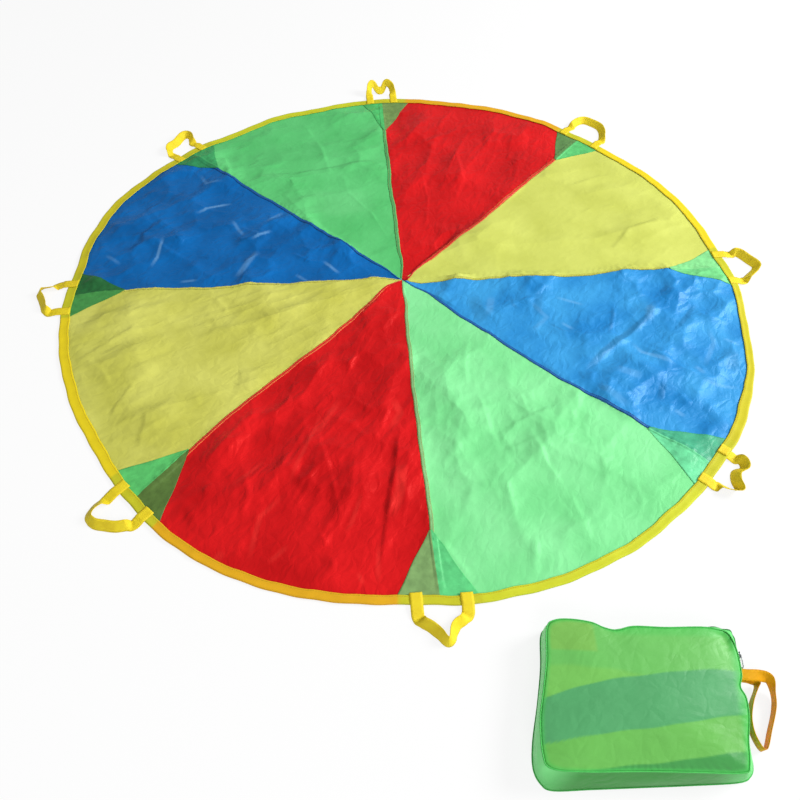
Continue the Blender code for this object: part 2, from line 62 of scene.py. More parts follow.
def eased(value):
    value = np.clip(value, 0.0, 1.0)
    return value * value * (3 - 2 * value)


def polar(radius, angle, height=0.0):
    return Vector((radius * math.cos(angle), radius * math.sin(angle), height))


def addNode(tree, kind, settings=None, links=None):
    node = tree.nodes.new("ShaderNode" + kind)
    for key, value in (settings or {}).items():
        if isinstance(key, str) and hasattr(node, key):
            setattr(node, key, value)
        else:
            node.inputs[key].default_value = value
    for key, source in (links or {}).items():
        tree.links.new(source, node.inputs[key])
    return node


def newMaterial(name):
    made = bpy.data.materials.new(name)
    made.use_nodes = True
    return made, made.node_tree, made.node_tree.nodes["Principled BSDF"]


def meshPiece(name, points, faces, uvs=None, material=None):
    mesh = bpy.data.meshes.new(name)
    mesh.from_pydata([tuple(p) for p in points], [], [tuple(f) for f in faces])
    if uvs is not None:
        layer = mesh.uv_layers.new(name="cloth")
        corners = np.zeros(len(mesh.loops), dtype=np.int32)
        mesh.loops.foreach_get("vertex_index", corners)
        layer.data.foreach_set("uv", np.asarray(uvs, dtype=np.float32)[corners].ravel())
    piece = bpy.data.objects.new(name, mesh)
    bpy.context.scene.collection.objects.link(piece)
    if material:
        mesh.materials.append(material)
    mesh.polygons.foreach_set("use_smooth", [True] * len(mesh.polygons))
    return piece


def paintPoints(piece, colours, attribute="tint"):
    layer = piece.data.color_attributes.new(attribute, "FLOAT_COLOR", "POINT")
    layer.data.foreach_set("color", np.asarray(colours, dtype=np.float32).ravel())


def turnOutwards(piece):
    made = bmesh.new()
    made.from_mesh(piece.data)
    bmesh.ops.recalc_face_normals(made, faces=made.faces)
    made.to_mesh(piece.data)
    made.free()


# A smooth stretch of curve from b to c, with a and d as its neighbours.
def curveStretch(a, b, c, d, steps):
    s = np.linspace(0, 1, steps, endpoint=False)[:, None]
    return 0.5 * (2 * b + (c - a) * s + (2 * a - 5 * b + 4 * c - d) * s ** 2 + (3 * b - a - 3 * c + d) * s ** 3)


# A grid of points, rows by columns, becomes quads; either way round can be joined up.
def gridFaces(rows, columns, joinRows=False, joinColumns=False):
    r = np.arange(rows if joinRows else rows - 1)
    c = np.arange(columns if joinColumns else columns - 1)
    rr, cc = np.meshgrid(r, c, indexing="ij")
    rn = (rr + 1) % rows
    cn = (cc + 1) % columns
    return np.stack([rr * columns + cc, rn * columns + cc, rn * columns + cn, rr * columns + cn], -1).reshape(-1, 4)


def selectOnly(piece):
    bpy.ops.object.select_all(action="DESELECT")
    bpy.context.view_layer.objects.active = piece
    piece.select_set(True)


def applyModifiers(piece):
    selectOnly(piece)
    for modifier in list(piece.modifiers):
        bpy.ops.object.modifier_apply(modifier=modifier.name)
    piece.select_set(False)


def thicken(piece, thickness, offset=1.0):
    solid = piece.modifiers.new("cloth thickness", "SOLIDIFY")
    solid.thickness = thickness
    solid.offset = offset
    applyModifiers(piece)


# The canopy's plan, measured in the photograph's floor plane

canopy = {
    "radius": 0.9,
    "firstSeam": math.radians(5),
    "goreAngle": math.tau / 8,
    "hem": 0.0035,          # cloth stops this far inside the tape's fold
    "tipRadius": 0.0004,
    "cloth": 0.0005,
    "rows": 208,
    "columns": 164,
}

# Sideways wander of each seam in millimetres, at these radii; positive is anticlockwise.
seamRadii = [0, 0.05, 0.1, 0.2, 0.3, 0.4, 0.5, 0.6, 0.7, 0.8, 0.9]
seamWander = [
    [0, -19, -20, -20, -19, -22, -20, -13, -15, -18, -15],
    [0, -6, -12, -18, -18, -13, -10, -8, -9, -7, -6],
    [0, -3, 3, 2, 4, 8, 6, 7, 10, 10, 9],
    [0, 1, 4, 4, 10, 14, 8, 14, 19, 19, 18],
    [0, -7, -4, -1, 4, 1, 4, 0, -4, 4, 14],
    [0, -15, -12, -3, -3, -5, -10, -10, -3, 4, 9],
    [0, -6, -6, -10, -10, -10, -9, -6, -4, -2, 2],
    [0, -2, -2, -13, -12, -17, -17, -11, -5, 0, 1],
]

# How far the rim strays from the round, in millimetres, every 10 degrees from +X.
rimWander = [-8, -15, -9, -8, -17, -18, -8, -5, -13, -8, -13, -25, -18, -29, -16, -9, 4, -2,
             -18, -13, -18, -22, -24, -12, 1, 3, -3, -12, -4, 0, 2, 0, 0, 5, 0, -11]


def rimOffset(angle):
    share = (np.asarray(angle) / math.tau * len(rimWander)) % len(rimWander)
    low = np.floor(share).astype(int)
    table = np.array(rimWander, dtype=float)
    part = eased(share - low)
    kinks = 0.9 * np.sin(np.asarray(angle) * 31 + 1) + 0.6 * np.sin(np.asarray(angle) * 74 + 2)
    return (table[low % len(table)] * (1 - part) + table[(low + 1) % len(table)] * part + kinks) / 1000


def seamAngle(number, radius):
    radius = np.asarray(radius, dtype=float)
    table = np.array(seamWander[number % 8], dtype=float) / 1000
    sideways = np.interp(radius, seamRadii, table)
    turns = number // 8
    base = canopy["firstSeam"] + (number % 8) * canopy["goreAngle"] + turns * math.tau
    return base + np.clip(sideways / np.maximum(radius, 0.02), -0.6, 0.6)


# The eight tips meet a little to one side of the rim's centre, and the far red one laps over the rest.
middle = {"reach": 0.09, "place": (-0.006, -0.009), "lapReach": 0.05, "lap": (0.0123, -0.0067), "lapHeight": 0.0040}


# How much of the lap a point takes: all of it on the red gore's clockwise side, none on the other.
def lapShare(radius, side):
    return eased(1 - radius / middle["lapReach"]) * (1 - side)


def drawnToMiddle(x, y, lap=0.0):
    share = eased(1 - np.hypot(x, y) / middle["reach"])
    return (x + middle["place"][0] * share + middle["lap"][0] * lap,
            y + middle["place"][1] * share + middle["lap"][1] * lap)


# The lie of the cloth: one height for every point of the canopy

class Scatter:
    def __init__(self, seed):
        made = np.random.RandomState(seed)
        self.x, self.y, self.level, self.tiltX, self.tiltY = made.rand(5, 64, 64)

    # Bowls round scattered points, meeting in sharp ridges, as crumpled cloth does.
    def bowls(self, x, y, size, tilt=0.5, curve=1.0):
        px, py = x / size, y / size
        ix, iy = np.floor(px).astype(int), np.floor(py).astype(int)
        lowest = np.full(px.shape, 1e9)
        for dx in (-1, 0, 1):
            for dy in (-1, 0, 1):
                cx, cy = (ix + dx), (iy + dy)
                wx, wy = cx % 64, cy % 64
                ox = px - cx - 0.15 - 0.7 * self.x[wx, wy]
                oy = py - cy - 0.15 - 0.7 * self.y[wx, wy]
                bowl = (curve * (ox * ox + oy * oy) + 0.25 * self.level[wx, wy]
                        + tilt * ((self.tiltX[wx, wy] - 0.5) * ox + (self.tiltY[wx, wy] - 0.5) * oy))
                lowest = np.minimum(lowest, bowl)
        return lowest * size

    # Soft rolling between random levels.
    def swell(self, x, y, size):
        px, py = x / size, y / size
        ix, iy = np.floor(px).astype(int), np.floor(py).astype(int)
        fx, fy = eased(px - ix), eased(py - iy)
        t = self.level
        a, b = t[ix % 64, iy % 64], t[(ix + 1) % 64, iy % 64]
        c, d = t[ix % 64, (iy + 1) % 64], t[(ix + 1) % 64, (iy + 1) % 64]
        return (a * (1 - fx) + b * fx) * (1 - fy) + (c * (1 - fx) + d * fx) * fy - 0.5


# Each gore's crumple: lie of its folds in degrees, stretch along them, strengths of the
# wide swells, long folds, facets and fine crinkles, and how far it all sinks until it rests on the floor.
crumple = [
    {"lie": 20, "stretch": 2.2, "swell": 0.010, "folds": 0.11, "facets": 0.09, "crinkles": 0.06, "sunk": 0.0045},
    {"lie": 70, "stretch": 2.4, "swell": 0.012, "folds": 0.16, "facets": 0.18, "crinkles": 0.12, "sunk": 0.0072},
    {"lie": 20, "stretch": 1.6, "swell": 0.010, "folds": 0.13, "facets": 0.13, "crinkles": 0.09, "sunk": 0.0046},
    {"lie": 40, "stretch": 1.5, "swell": 0.010, "folds": 0.14, "facets": 0.20, "crinkles": 0.16, "sunk": 0.0090},
    {"lie": 25, "stretch": 2.6, "swell": 0.012, "folds": 0.11, "facets": 0.13, "crinkles": 0.16, "sunk": 0.0050},
    {"lie": 58, "stretch": 1.9, "swell": 0.012, "folds": 0.16, "facets": 0.22, "crinkles": 0.13, "sunk": 0.0088},
    {"lie": 65, "stretch": 1.4, "swell": 0.012, "folds": 0.11, "facets": 0.11, "crinkles": 0.08, "sunk": 0.0048},
    {"lie": 50, "stretch": 1.5, "swell": 0.012, "folds": 0.19, "facets": 0.19, "crinkles": 0.09, "sunk": 0.0085},
]
swellField, foldField, facetField, crinkleField, calmField = [Scatter(seed) for seed in (11, 12, 13, 14, 15)]


def goreHeight(x, y, number):
    style = crumple[number % 8]
    lie = math.radians(style["lie"])
    u = (x * math.cos(lie) + y * math.sin(lie)) / style["stretch"]
    v = -x * math.sin(lie) + y * math.cos(lie)
    shift = 3.7 * (number % 8)
    bend = 0.03 * swellField.swell(u + shift, v, 0.11)
    calm = 0.45 + 1.1 * np.clip(calmField.swell(x + shift, y, 0.16) + 0.5, 0, 1)
    height = style["swell"] * (swellField.swell(x, y + shift, 0.23) + 0.5 * swellField.swell(x + 9, y + shift, 0.11))
    height = height + style["folds"] * foldField.bowls(u + shift + bend, v - bend, 0.13) * calm
    # facets meet in ridges and in valleys, flat between
    ridges = facetField.bowls(u * 1.2 + shift, v + bend, 0.055, 1.1, 0.7)
    valleys = facetField.bowls(v * 0.9 + 2.1, u * 1.1 - bend + shift, 0.062, 1.1, 0.7)
    height = height + style["facets"] * (ridges - 0.6 * valleys + 0.02) * calm
    height = height + style["crinkles"] * crinkleField.bowls(u + shift + 5, v, 0.024, 1.1, 0.7) * calm
    return height - style["sunk"]


# Folds seen in the photograph, in millimetres: points along the crest, height, and how far its two flanks reach.
placedFolds = [
    # gore_8_blue
    ([(760, -150), (640, -250), (520, -350), (430, -430)], 7.0, 150, 90),
    ([(695, -46), (611, -144), (553, -207), (480, -264), (418, -307)], 6.5, 16, 70),
    ([(565, -207), (602, -234), (657, -283), (712, -323), (771, -342)], 3.5, 10, 34),
    ([(558, -27), (546, -98), (519, -187)], 2.6, 8, 30),
    ([(448, -139), (452, -164), (444, -193)], 1.8, 6, 16),
    ([(291, -87), (344, -68), (389, -112), (436, -114)], 2.4, 10, 26),
    ([(694, -23), (741, -54), (799, -39), (865, -24)], 2.6, 10, 22),
    ([(708, -141), (768, -123), (851, -151)], 3.0, 14, 40),
    ([(606, -446), (625, -397), (655, -379), (671, -421)], 3.6, 12, 26),
    ([(462, -306), (447, -340), (439, -369)], 2.6, 9, 26),
    ([(512, -368), (534, -403), (553, -437)], 3.0, 12, 26),
    ([(695, -434), (721, -399), (790, -354)], 2.8, 12, 30),
    ([(135, -55), (190, -89), (248, -157)], 2.2, 12, 24),
    ([(308, -180), (365, -162), (405, -186), (410, -234)], 2.4, 9, 22),
    # gore_7_green
    ([(164, -192), (150, -287), (150, -368)], 2.2, 12, 22),
    ([(32, -299), (144, -291), (274, -278)], 1.6, 8, 30),
    ([(38, -481), (114, -482), (191, -477)], 1.8, 7, 26),
    ([(194, -514), (287, -453), (366, -413)], 2.6, 8, 34),
    ([(197, -556), (297, -510), (332, -492)], 2.2, 8, 26),
    ([(278, -459), (313, -565), (359, -653), (385, -746)], 3.2, 12, 40),
    ([(174, -386), (196, -478), (213, -558)], 2.6, 14, 30),
    ([(274, -376), (288, -449)], 2.0, 9, 22),
    ([(277, -743), (265, -795), (265, -840)], 3.4, 12, 22),
    ([(76, -752), (104, -788), (142, -840)], 3.0, 14, 24),
    ([(223, -609), (236, -687)], 1.8, 9, 20),
    ([(303, -691), (344, -665), (418, -635)], 2.2, 12, 30),
    ([(496, -604), (505, -662), (488, -696)], 2.4, 14, 30),
    ([(404, -719), (442, -674), (487, -651)], 2.2, 14, 30),
    # gore_6_red
    ([(-3, -463), (-11, -588), (-27, -706), (-41, -857)], 5.0, 60, 10),
    ([(-97, -211), (-136, -336), (-177, -400), (-238, -495), (-285, -545)], 4.2, 12, 46),
    ([(-172, -395), (-110, -406), (-57, -448)], 2.6, 9, 28),
    ([(-196, -431), (-238, -544), (-277, -648), (-324, -712)], 4.2, 14, 44),
    ([(-330, -626), (-317, -668), (-329, -709)], 2.4, 8, 18),
    ([(-92, -633), (-127, -729), (-171, -794)], 4.0, 12, 38),
    ([(-281, -692), (-312, -759), (-334, -821)], 4.4, 12, 34),
    ([(-193, -490), (-143, -637), (-122, -719)], 3.0, 10, 34),
    ([(-164, -740), (-147, -773), (-128, -813)], 2.6, 9, 22),
    ([(-78, -785), (-65, -819), (-58, -857)], 3.4, 12, 24),
    ([(-224, -694), (-202, -652), (-182, -620)], 2.4, 9, 22),
    ([(-410, -596), (-380, -535), (-327, -502)], 2.8, 14, 30),
    ([(-445, -725), (-414, -687), (-405, -625)], 3.0, 16, 34),
    ([(-28, -411), (-48, -490), (-77, -541)], 3.0, 14, 34),
    ([(-230, -788), (-198, -831), (-186, -859)], 3.0, 16, 30),
    # gore_5_yellow
    ([(-730, -60), (-690, -170), (-640, -300), (-540, -440)], 7.0, 150, 160),
    ([(-791, -323), (-742, -265), (-676, -205), (-602, -191)], 2.2, 9, 26),
    ([(-663, -483), (-653, -424), (-625, -354)], 2.6, 8, 22),
    ([(-497, -85), (-461, -118), (-452, -151)], 2.0, 8, 14),
    ([(-396, -298), (-400, -349), (-398, -398)], -3.0, 22, 22),
    ([(-607, -197), (-539, -153), (-483, -162)], 1.8, 8, 22),
    ([(-393, -239), (-327, -211), (-269, -147)], 1.8, 9, 26),
    ([(-442, -479), (-408, -432), (-379, -391)], 2.8, 10, 26),
    ([(-579, -552), (-575, -488), (-581, -449)], 2.4, 12, 24),
    ([(-772, -299), (-717, -335), (-672, -397)], 1.8, 9, 20),
    ([(-552, -395), (-494, -379), (-459, -447)], 2.0, 14, 26),
    # gore_3_green
    ([(-574, 531), (-552, 479), (-533, 418)], 3.2, 10, 20),
    ([(-464, 425), (-293, 466), (-54, 541)], 2.6, 10, 40),
    ([(-357, 753), (-269, 583), (-233, 447)], 2.4, 12, 30),
    ([(-183, 379), (-97, 268), (-47, 155)], 2.2, 9, 22),
    # gore_2_red
    ([(22, 598), (144, 692), (281, 779)], 3.4, 14, 44),
    ([(44, 486), (67, 338), (60, 192)], 2.8, 9, 24),
    ([(157, 596), (173, 439), (131, 283)], 2.8, 12, 26),
    ([(310, 715), (272, 545), (221, 430)], 2.8, 12, 30),
    # gore_1_yellow
    ([(421, 206), (543, 308), (651, 335)], 2.4, 10, 30),
    ([(573, 120), (639, 207), (759, 268)], 2.4, 10, 30),
    ([(468, 397), (602, 471), (693, 464)], 2.0, 12, 28),
    # gore_4_blue
    ([(-716, 146), (-653, 89), (-585, 50)], 3.2, 10, 34),
    ([(-619, 295), (-552, 265), (-492, 257)], 2.6, 8, 24),
    ([(-482, 208), (-421, 162), (-364, 138)], 2.6, 10, 26),
    ([(-438, -17), (-427, 54), (-385, 104)], 3.0, 12, 34),
    ([(-849, 220), (-809, 290), (-737, 363)], 3.0, 12, 40),
    ([(-317, 97), (-258, 58), (-204, 60)], 2.2, 8, 20),
]


# Where points lie beside a line: which are within its reach, how far off, how far along, its length and on which side.
def besideLine(points, reach, allX, allY):
    spots = np.array(points, dtype=float) / 1000
    low, high = spots.min(axis=0) - reach, spots.max(axis=0) + reach
    near = (allX > low[0]) & (allX < high[0]) & (allY > low[1]) & (allY < high[1])
    x, y = allX[near], allY[near]
    lengths = np.concatenate([[0], np.cumsum(np.linalg.norm(np.diff(spots, axis=0), axis=1))])
    nearest = np.full(x.shape, 1e9)
    along = np.zeros(x.shape)
    side = np.zeros(x.shape)
    for i in range(len(spots) - 1):
        a, b = spots[i], spots[i + 1]
        d = b - a
        t = np.clip(((x - a[0]) * d[0] + (y - a[1]) * d[1]) / (d @ d), 0, 1)
        ox, oy = x - a[0] - t * d[0], y - a[1] - t * d[1]
        gap = np.hypot(ox, oy)
        better = gap < nearest
        nearest = np.where(better, gap, nearest)
        along = np.where(better, lengths[i] + t * (lengths[i + 1] - lengths[i]), along)
        side = np.where(better, np.sign(d[0] * oy - d[1] * ox), side)
    return near, nearest, along, lengths[-1], side


def foldHeight(allX, allY):
    total = np.zeros(allX.shape)
    for points, height, left, right in placedFolds:
        near, nearest, along, length, side = besideLine(points, max(left, right) / 1000, allX, allY)
        flank = np.where(side > 0, left, right) / 1000
        # the crest is a little rounded, wanders in height and dies away at its ends
        fade = eased(along / length * 4) * eased((1 - along / length) * 4) * (1 + 0.25 * np.sin(along * 90))
        sharp = np.hypot(nearest, 0.0012) - 0.0012
        total[near] += height / 1000 * fade * np.clip(1 - sharp / flank, 0, 1) ** 1.6
    return total


# Painted highlights and painted shade on the creases: strokes that gleam (positive) or lie in shade (negative), in
# millimetres: points along each, half width, percent.
paintedCreaseStrokes = {
    "gore_8_blue": [
        ([(673, -51), (627, -127), (556, -192), (488, -254), (446, -306), (423, -355)], 9, -34),
        ([(360, -33), (348, -93), (342, -142)], 14, -20), ([(177, -46), (192, -113), (206, -169)], 22, -22),
        ([(547, -80), (528, -153), (511, -201)], 4, -28), ([(764, -74), (702, -157), (680, -181)], 6, -26),
        ([(622, -337), (598, -399)], 9, -26), ([(812, -224), (793, -312)], 22, -20),
        ([(279, -52), (282, -94), (304, -112)], 4, -20), ([(424, -306), (430, -341)], 4, -20),
        ([(328, -279), (391, -345)], 8, -16), ([(365, -149), (412, -189)], 4, -18), ([(710, -76), (754, -41)], 12, -8),
        ([(231, -54), (217, -137)], 11, 14), ([(325, -77), (367, -133), (320, -190)], 6, 12),
        ([(394, -58), (473, -90)], 4, 18), ([(400, -148), (431, -179)], 4, 18),
        ([(567, -211), (585, -248), (666, -290)], 5, 22), ([(641, -86), (627, -143)], 13, 14),
        ([(773, -155), (776, -210), (725, -299)], 6, 15), ([(705, -289), (726, -317)], 5, 18),
        ([(508, -304), (574, -331)], 13, 14), ([(628, -418), (650, -440)], 5, 20),
        ([(706, -332), (756, -348), (803, -355)], 4, 18), ([(798, -194), (841, -223)], 4, 16),
        ([(455, -354), (530, -420)], 9, 10)],
    "gore_4_blue": [
        ([(-609, 246), (-573, 284), (-506, 305)], 4, 32), ([(-674, 144), (-676, 63), (-688, 22)], 4, 32),
        ([(-686, 138), (-691, 73), (-699, 24)], 4, -16), ([(-431, 135), (-376, 183)], 4, 28),
        ([(-451, -17), (-430, 40), (-402, 100)], 9, 20), ([(-225, 65), (-172, 11)], 4, 24),
        ([(-631, 437), (-600, 390), (-550, 397)], 5, 15), ([(-400, 212), (-352, 270)], 5, 17),
        ([(-501, 231), (-473, 185), (-447, 150)], 4, 19), ([(-471, 128), (-432, 145)], 4, -20),
        ([(-600, -28), (-547, -21)], 4, 18), ([(-788, 151), (-691, 174)], 4, -14), ([(-685, 323), (-658, 353)], 4, -16),
        ([(-574, 71), (-530, 65)], 5, -14), ([(-820, 69), (-767, 32)], 4, 12), ([(-295, 11), (-253, -23)], 4, 15),
        ([(-862, 149), (-860, 68), (-856, 11)], 6, -16)],
    "gore_6_red": [
        ([(-26, -397), (-5, -445), (-30, -497)], 10, 20), ([(3, -568), (-2, -646), (-23, -719)], 13, 24),
        ([(-27, -457), (-18, -514), (-19, -595), (-28, -671), (-42, -734)], 7, -15),
        ([(-183, -425), (-194, -489), (-227, -599), (-239, -651)], 4, 18),
        ([(-239, -651), (-289, -710), (-294, -752), (-299, -815)], 5, 18),
        ([(-141, -399), (-170, -460), (-196, -517)], 8, 18), ([(-226, -326), (-287, -403)], 21, -8),
        ([(-80, -652), (-100, -721), (-114, -749)], 4, 18), ([(-222, -769), (-262, -814)], 5, 16),
        ([(-360, -643), (-333, -619), (-294, -574)], 4, 16), ([(-390, -597), (-358, -628)], 8, -12),
        ([(-455, -680), (-423, -732), (-390, -772)], 10, -11), ([(-157, -786), (-133, -829)], 10, -12),
        ([(-44, -761), (-42, -853)], 4, 18), ([(-82, -824), (-70, -853)], 4, 20), ([(-350, -785), (-369, -816)], 9, 14),
        ([(-270, -426), (-307, -474)], 15, -8)],
    "gore_3_green": [
        ([(-331, 338), (-199, 308), (-78, 346)], 70, 7), ([(-568, 502), (-391, 546), (-165, 619)], 60, -7),
        ([(-414, 425), (-270, 479), (-69, 542)], 5, -12), ([(-193, 126), (-141, 168)], 12, -8),
        ([(-103, 88), (-44, 129)], 9, -8)],
    "gore_5_yellow": [
        ([(-814, -216), (-780, -166), (-753, -105)], 18, -9), ([(-787, -325), (-754, -397), (-703, -458)], 15, -9),
        ([(-496, -142), (-474, -192), (-487, -225)], 7, -9), ([(-386, -131), (-339, -155), (-361, -222)], 8, -9)],
}


# Share of painted highlight and of painted shade at each point of a gore.
def paintedCreaseShares(name, allX, allY):
    gleam, shade = np.zeros(allX.shape), np.zeros(allX.shape)
    for points, halfWidth, percent in paintedCreaseStrokes.get(name, []):
        reach = (halfWidth + 2) / 1000
        near, nearest, along, length, side = besideLine(points, reach, allX, allY)
        fade = eased(along / length * 3) * eased((1 - along / length) * 3) * eased(1.7 * (1 - nearest / reach))
        if percent > 0:
            gleam[near] += percent / 100 * fade
        else:
            shade[near] -= percent / 100 * fade
    return np.clip(gleam, 0, 0.5), np.clip(shade, 0, 0.5)


def clothHeight(x, y):
    x, y = np.asarray(x, dtype=float), np.asarray(y, dtype=float)
    radius = np.hypot(x, y)
    angle = np.arctan2(y, x)
    place = ((angle - canopy["firstSeam"]) / canopy["goreAngle"]) % 8
    number = np.floor(place).astype(int)
    part = place - number
    height = np.zeros(x.shape)
    weight = np.zeros(x.shape)
    for gore in range(8):
        away = np.abs((place - gore - 0.5 + 4) % 8 - 4)      # 0 in the gore's middle, 0.5 on its seams
        share = 1 - eased((away - 0.42) / 0.16)
        inside = share > 0
        if inside.any():
            height[inside] += share[inside] * goreHeight(x[inside], y[inside], gore)
            weight[inside] += share[inside]
    height = height / np.maximum(weight, 1e-6) * eased(radius / 0.08)
    # The seams stand a little proud and pucker.
    offSeam = np.abs(part - np.round(part)) * canopy["goreAngle"] * radius
    pucker = 0.0005 * np.sin(radius * math.tau / 0.019 + 3 * np.sin(radius * 23 + number))
    height = height + eased(1 - offSeam / 0.020) * (0.0009 + pucker)
    height = height + foldHeight(x, y)
    # The middle bunches up where eight tips meet.
    height = height + 0.003 * eased(1 - radius / 0.05)
    rim = canopy["radius"] + rimOffset(angle)
    calm = 0.35 + 0.65 * eased((rim - radius - 0.01) / 0.07)
    # the lowest parts settle on the floor
    return 0.5 * (height * calm + np.hypot(height * calm, 0.0025)) + 0.0008


# Materials

# Polyester taffeta, calendered smooth: a crisp, slightly shiny plain weave that glints along creases.
# Real threads are 0.12 mm apart, too fine to show, so they are drawn 1.4 mm apart.
def taffeta(name, colour, shade, gloss=0.36, crinkle=0.6, shine=0.25, lie=30):
    made, tree, shader = newMaterial(name)
    shader.inputs["Specular IOR Level"].default_value = shine
    spots = addNode(tree, "TexCoord").outputs["Object"]
    cloud = addNode(tree, "TexNoise", {"Scale": 7.0, "Detail": 4.0}, {"Vector": spots})
    tone = addNode(tree, "ValToRGB", links={"Fac": cloud.outputs["Fac"]})
    tone.color_ramp.elements[0].position = 0.35
    tone.color_ramp.elements[0].color = linearColour(shade)
    tone.color_ramp.elements[1].position = 0.65
    tone.color_ramp.elements[1].color = linearColour(colour)
    warp = addNode(tree, "TexWave", {"Scale": 224.0, "bands_direction": "X"}, {"Vector": spots})
    weft = addNode(tree, "TexWave", {"Scale": 224.0, "bands_direction": "Y"}, {"Vector": spots})
    weave = addNode(tree, "Math", {"operation": "ADD"}, {0: warp.outputs["Fac"], 1: weft.outputs["Fac"]})
    weaveBump = addNode(tree, "Bump", {"Strength": 0.12, "Distance": 0.0002}, {"Height": weave.outputs[0]})
    # creases too fine for the mesh: flat facets, drawn out along the lie of the folds
    bent = addNode(tree, "TexNoise", {"Scale": 14.0, "Detail": 2.0}, {"Vector": spots})
    moved = addNode(tree, "MixRGB", {"blend_type": "ADD", "Fac": 0.05},
                    {"Color1": spots, "Color2": bent.outputs["Color"]})
    drawn = addNode(tree, "Mapping", {"vector_type": "TEXTURE", "Rotation": (0, 0, math.radians(lie)),
                                                "Scale": (1.7, 1.0, 1.0)}, {"Vector": moved.outputs[0]})
    cells = addNode(tree, "TexVoronoi", {"feature": "DISTANCE_TO_EDGE", "Scale": 42.0},
                    {"Vector": drawn.outputs[0]})
    small = addNode(tree, "TexVoronoi", {"feature": "DISTANCE_TO_EDGE", "Scale": 105.0},
                    {"Vector": drawn.outputs[0]})
    crinkles = addNode(tree, "Bump", {"Strength": crinkle, "Distance": 0.0028},
                       {"Height": cells.outputs["Distance"], "Normal": weaveBump.outputs[0]})
    finest = addNode(tree, "Bump", {"Strength": crinkle * 0.6, "Distance": 0.0011},
                     {"Height": small.outputs["Distance"], "Normal": crinkles.outputs[0]})
    rough = addNode(tree, "MapRange", {"To Min": gloss - 0.06, "To Max": gloss + 0.1},
                    {"Value": cloud.outputs["Fac"]})
    tree.links.new(tone.outputs["Color"], shader.inputs["Base Color"])
    tree.links.new(rough.outputs["Result"], shader.inputs["Roughness"])
    tree.links.new(finest.outputs[0], shader.inputs["Normal"])
    return made


# Name, colour, shade, roughness, strength of the finest crinkles, shine; dyed threads colour what they gleam with.
# The two blues are one fabric and the two greens one fabric: the left blue and the far green are painted darker, the
# right blue and the near green lighter, as painted shade and painted light.
goreFinish = [
    ("yellowTaffetaRight", "#CFD66A", "#C2C95D", 0.45, 0.35, 0.2),
    ("redTaffetaFar", "#DA1C1F", "#C21518", 0.42, 0.9, 0.25),
    ("greenTaffetaFarPaintedShade", "#66CF7D", "#57C06E", 0.45, 0.5, 0.25),
    ("blueTaffetaLeftPaintedShade", "#0A6AB6", "#06599C", 0.4, 0.8, 0.3),
    ("yellowTaffetaLeft", "#D6D66A", "#C2C254", 0.42, 0.7, 0.25),
    ("redTaffetaNear", "#DC1D20", "#BE1518", 0.4, 0.9, 0.4),
    ("greenTaffetaNearPaintedLight", "#8AE69C", "#79D98C", 0.45, 0.5, 0.25),
    ("blueTaffetaRightPaintedLight", "#3A9DDC", "#1C80C6", 0.44, 0.8, 0.45),
]
# Gleam colours: each cloth's specular tint, and the painted highlight mixed into its creases.
gleams = {"yellow": "#FFFFC8", "red": "#FF4A40", "green": "#B4F8C0", "blue": "#9AD4FF"}
goreNames = ["gore_1_yellow", "gore_2_red", "gore_3_green", "gore_4_blue",
             "gore_5_yellow", "gore_6_red", "gore_7_green", "gore_8_blue"]
goreColours = ["yellow", "red", "green", "blue"] * 2


# A gore's taffeta, with its creases' gleam and shade painted point by point.
def goreCloth(number):
    made = taffeta(*goreFinish[number], crumple[number]["lie"])
    tree = made.node_tree
    shader = tree.nodes["Principled BSDF"]
    gleam = linearColour(gleams[goreColours[number]])
    shader.inputs["Specular Tint"].default_value = gleam
    # painted highlight mixed in and painted shade multiplied in, read point by point
    painted = addNode(tree, "Attribute", {"attribute_name": "paintedCreaseLightShade"})
    parts = addNode(tree, "SeparateXYZ", links={"Vector": painted.outputs["Color"]})
    plain = shader.inputs["Base Color"].links[0].from_socket
    lit = addNode(tree, "MixRGB", {"Color2": gleam}, {"Fac": parts.outputs["X"], "Color1": plain})
    shaded = addNode(tree, "MixRGB", {"blend_type": "MULTIPLY", "Color2": (0, 0, 0, 1)},
                     {"Fac": parts.outputs["Y"], "Color1": lit.outputs[0]})
    tree.links.new(shaded.outputs[0], shader.inputs["Base Color"])
    return made


print("materials started")


# Floor, light and camera

studio = {"floor": 50, "floorGlow": 0.85, "skyLight": 0.34,
          "camera": (-0.0058, -1.3351, 1.2579), "lens": 30.262, "tilt": 36.502, "roll": 0.997}


def makeStage():
    bpy.ops.mesh.primitive_plane_add(size=studio["floor"], location=(0, 0, 0))
    floor = bpy.context.object
    floor.name = "floor"
    floor.data.transform(floor.matrix_world)
    floor.matrix_world = Matrix.Identity(4)
    paper, tree, shader = newMaterial("whitePaper")
    shader.inputs["Base Color"].default_value = linearColour("#F4F4F4")
    shader.inputs["Roughness"].default_value = 0.9
    glow = addNode(tree, "Emission", {"Color": (1, 1, 1, 1), "Strength": 1.0})
    path = addNode(tree, "LightPath")
    seen = addNode(tree, "Math", {"operation": "MAXIMUM"},
                   {0: path.outputs["Is Camera Ray"], 1: path.outputs["Is Glossy Ray"]})
    share = addNode(tree, "Math", {"operation": "MULTIPLY", 1: studio["floorGlow"]}, {0: seen.outputs[0]})
    mixed = addNode(tree, "MixShader", links={0: share.outputs[0], 1: shader.outputs[0], 2: glow.outputs[0]})
    tree.links.new(mixed.outputs[0], tree.nodes["Material Output"].inputs["Surface"])
    floor.data.materials.append(paper)
    return floor


def addLamp(name, place, target, size, power):
    bpy.ops.object.light_add(type="AREA", location=place)
    lamp = bpy.context.object
    lamp.name = name
    lamp.data.shape = "DISK"
    lamp.data.size = size
    lamp.data.energy = power
    lamp.rotation_euler = (Vector(target) - Vector(place)).to_track_quat("-Z", "Y").to_euler()


